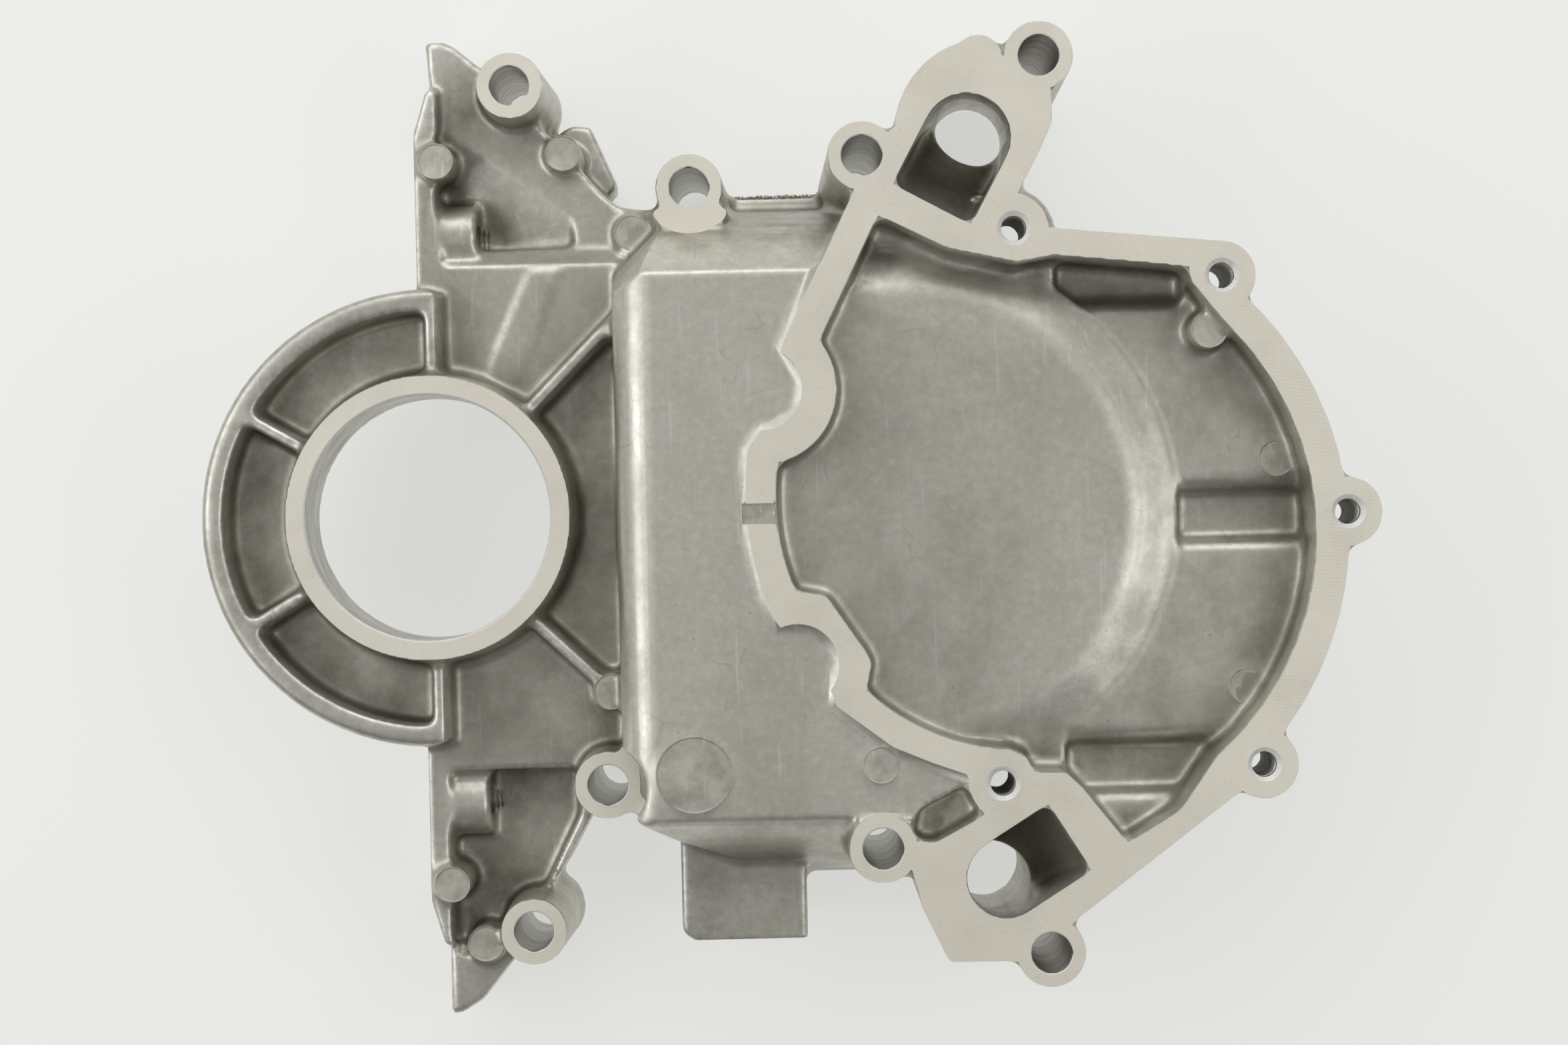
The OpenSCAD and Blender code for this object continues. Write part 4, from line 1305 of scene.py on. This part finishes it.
    def build(self, materials: list[bpy.types.Material]) -> bpy.types.Object:
        """Makes the whole casting.

        Args:
            materials: materials in the order of the Finish options.

        Returns:
            The finished piece, riding on the body.
        """
        s = self.sizes
        points, faces = self.solid()
        stock = self.with_stock(points)
        corners, quads = self.level.rounded(stock, faces, self.fillet_r, self.edge_r)
        corners = self.soft_dome(corners)
        piece = self.skin(corners, quads)
        for material in materials:
            piece.data.materials.append(material)
        log.info("cast skin: %d faces", len(piece.data.polygons))
        self.combine(piece, self.face_surround(stock, faces, materials), "DIFFERENCE")
        pins = PinField()
        finish = materials[Finish.PIN.value]
        for places, r in ((s.pins, s.pin_r), ((s.disc,), s.disc_r)):
            self.combine(piece, pins.build(places, r, finish), "UNION")
        self.combine(piece, self.tool_of(self.mills(), materials), "DIFFERENCE")
        self.combine(piece, self.tool_of(self.drills(), materials), "DIFFERENCE")
        self.mark(piece.data, corners, quads)
        self.mark_arcs(piece.data)
        self.sharpen(piece.data)
        self.shade(piece.data, corners, quads)
        piece.data.transform(Matrix.Scale(MM, 4))
        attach(piece, BODY)
        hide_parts(NODE)
        log.info("casting: %d faces", len(piece.data.polygons))
        return piece


@dataclass(frozen=True)
class SoftBox:
    """Square-on soft light.

    Args:
        name: name of the lamp.
        place: place in metres.
        size: width and height in metres.
        level: brightness of its face.
        colour: colour of its light.
    """

    name: str
    place: tuple[float, float, float]
    size: tuple[float, float]
    level: float
    colour: tuple[float, float, float]

    def build(self, aim: Vector) -> None:
        """Hangs the lamp and turns it to a point."""
        data = bpy.data.lights.new(self.name, "AREA")
        data.shape = "RECTANGLE"
        data.size, data.size_y = self.size
        data.energy = self.level * math.pi * self.size[0] * self.size[1]
        data.color = self.colour
        lamp = bpy.data.objects.new(self.name, data)
        bpy.context.scene.collection.objects.link(lamp)
        lamp.location = self.place
        lamp.rotation_euler = (aim - lamp.location).to_track_quat("-Z", "Y").to_euler()
        lamp.visible_camera = False


@dataclass(frozen=True)
class Studio:
    """Pale floor, soft light and the camera above the part, in metres."""

    floor_colour: tuple[float, float, float] = (0.905, 0.91, 0.885)
    floor_glow: float = 0.66
    floor_size: float = 40.0
    world_level: float = 0.18
    camera_height: float = 0.678
    camera_x: float = 0.09719
    camera_y: float = -0.00127
    part_turn: float = math.radians(1.4)
    focal_px: float = 3446.0
    frame_px: float = 2352.0
    sensor: float = 36.0
    boxes: tuple[SoftBox, ...] = (
        SoftBox("overhead", (0.1, 0.1, 1.7), (2.2, 1.8), 0.24, (1.0, 0.985, 0.93)),
        SoftBox("key", (0.1, 1.05, 0.78), (1.8, 0.7), 2.0, (0.98, 0.99, 1.0)),
        SoftBox("left", (-0.95, 0.1, 0.9), (1.4, 0.6), 2.3, (0.98, 0.99, 1.0)),
        SoftBox("right", (1.1, -0.12, 1.0), (1.2, 0.5), 2.0, (0.98, 0.99, 1.0)),
    )

    def floor(self) -> bpy.types.Object:
        """Floor under the part, pale to the camera and to mirrors."""
        half = self.floor_size / 2
        mesh = bpy.data.meshes.new("floor")
        square = [(-half, -half, 0), (half, -half, 0), (half, half, 0), (-half, half, 0)]
        mesh.from_pydata(square, [], [(0, 1, 2, 3)])
        piece = bpy.data.objects.new("floor", mesh)
        bpy.context.scene.collection.objects.link(piece)
        piece.location.z = -0.0004
        sheet = Sheet("pale_floor")
        path = sheet.add("LightPath")
        seen = sheet.calc("MAXIMUM", path.outputs["Is Camera Ray"], path.outputs["Is Glossy Ray"])
        seen = sheet.calc("MAXIMUM", seen, path.outputs["Is Transmission Ray"])
        share = sheet.calc("MULTIPLY", seen, self.floor_glow)
        plain = sheet.add("BsdfDiffuse", Color=(*self.floor_colour, 1.0))
        glow = sheet.add("Emission", Color=(*self.floor_colour, 1.0), Strength=1.0)
        mixed = sheet.add("MixShader", Fac=share)
        sheet.feed(mixed.inputs[1], plain.outputs[0])
        sheet.feed(mixed.inputs[2], glow.outputs[0])
        sheet.feed(sheet.out.inputs["Surface"], mixed.outputs[0])
        mesh.materials.append(sheet.material)
        return piece

    def camera(self) -> None:
        """Camera that looks straight down at the part from the photograph's place."""
        data = bpy.data.cameras.new("camera")
        data.sensor_width = self.sensor
        data.lens = self.focal_px / self.frame_px * self.sensor
        data.clip_start = 0.01
        camera = bpy.data.objects.new("camera", data)
        bpy.context.scene.collection.objects.link(camera)
        turn = Matrix.Rotation(-self.part_turn, 3, "Z")
        camera.location = turn @ Vector((self.camera_x, self.camera_y, self.camera_height))
        camera.rotation_euler = (0.0, 0.0, -self.part_turn)
        bpy.context.scene.camera = camera

    def world(self) -> None:
        """Even soft light from all round, pale where the camera looks past the floor."""
        world = bpy.data.worlds.new("studio")
        bpy.context.scene.world = world
        world.use_nodes = True
        tree = world.node_tree
        light = tree.nodes["Background"]
        light.inputs["Color"].default_value = (1.0, 1.0, 0.985, 1.0)
        light.inputs["Strength"].default_value = self.world_level
        pale = tree.nodes.new("ShaderNodeBackground")
        pale.inputs["Color"].default_value = (*self.floor_colour, 1.0)
        path = tree.nodes.new("ShaderNodeLightPath")
        mixed = tree.nodes.new("ShaderNodeMixShader")
        tree.links.new(path.outputs["Is Camera Ray"], mixed.inputs["Fac"])
        tree.links.new(light.outputs[0], mixed.inputs[1])
        tree.links.new(pale.outputs[0], mixed.inputs[2])
        tree.links.new(mixed.outputs[0], tree.nodes["World Output"].inputs["Surface"])

    def build(self) -> None:
        """Sets up the floor, the light and the camera."""
        bpy.context.scene.view_settings.view_transform = "Standard"
        self.camera()
        self.floor()
        self.world()
        for box in self.boxes:
            box.build(Vector((self.camera_x, 0.0, 0.03)))


def main() -> None:
    """Builds the studio, the casting and its burrs, and reports each piece."""
    logging.basicConfig(level=logging.INFO, format="%(name)s: %(message)s")
    Studio().build()
    materials = Finishes().for_casting()
    for piece in (Casting().build(materials), Burrs().build(materials[Finish.CAST.value])):
        log.info("piece %s is in place", piece.name)


if __name__ == "__main__":
    main()
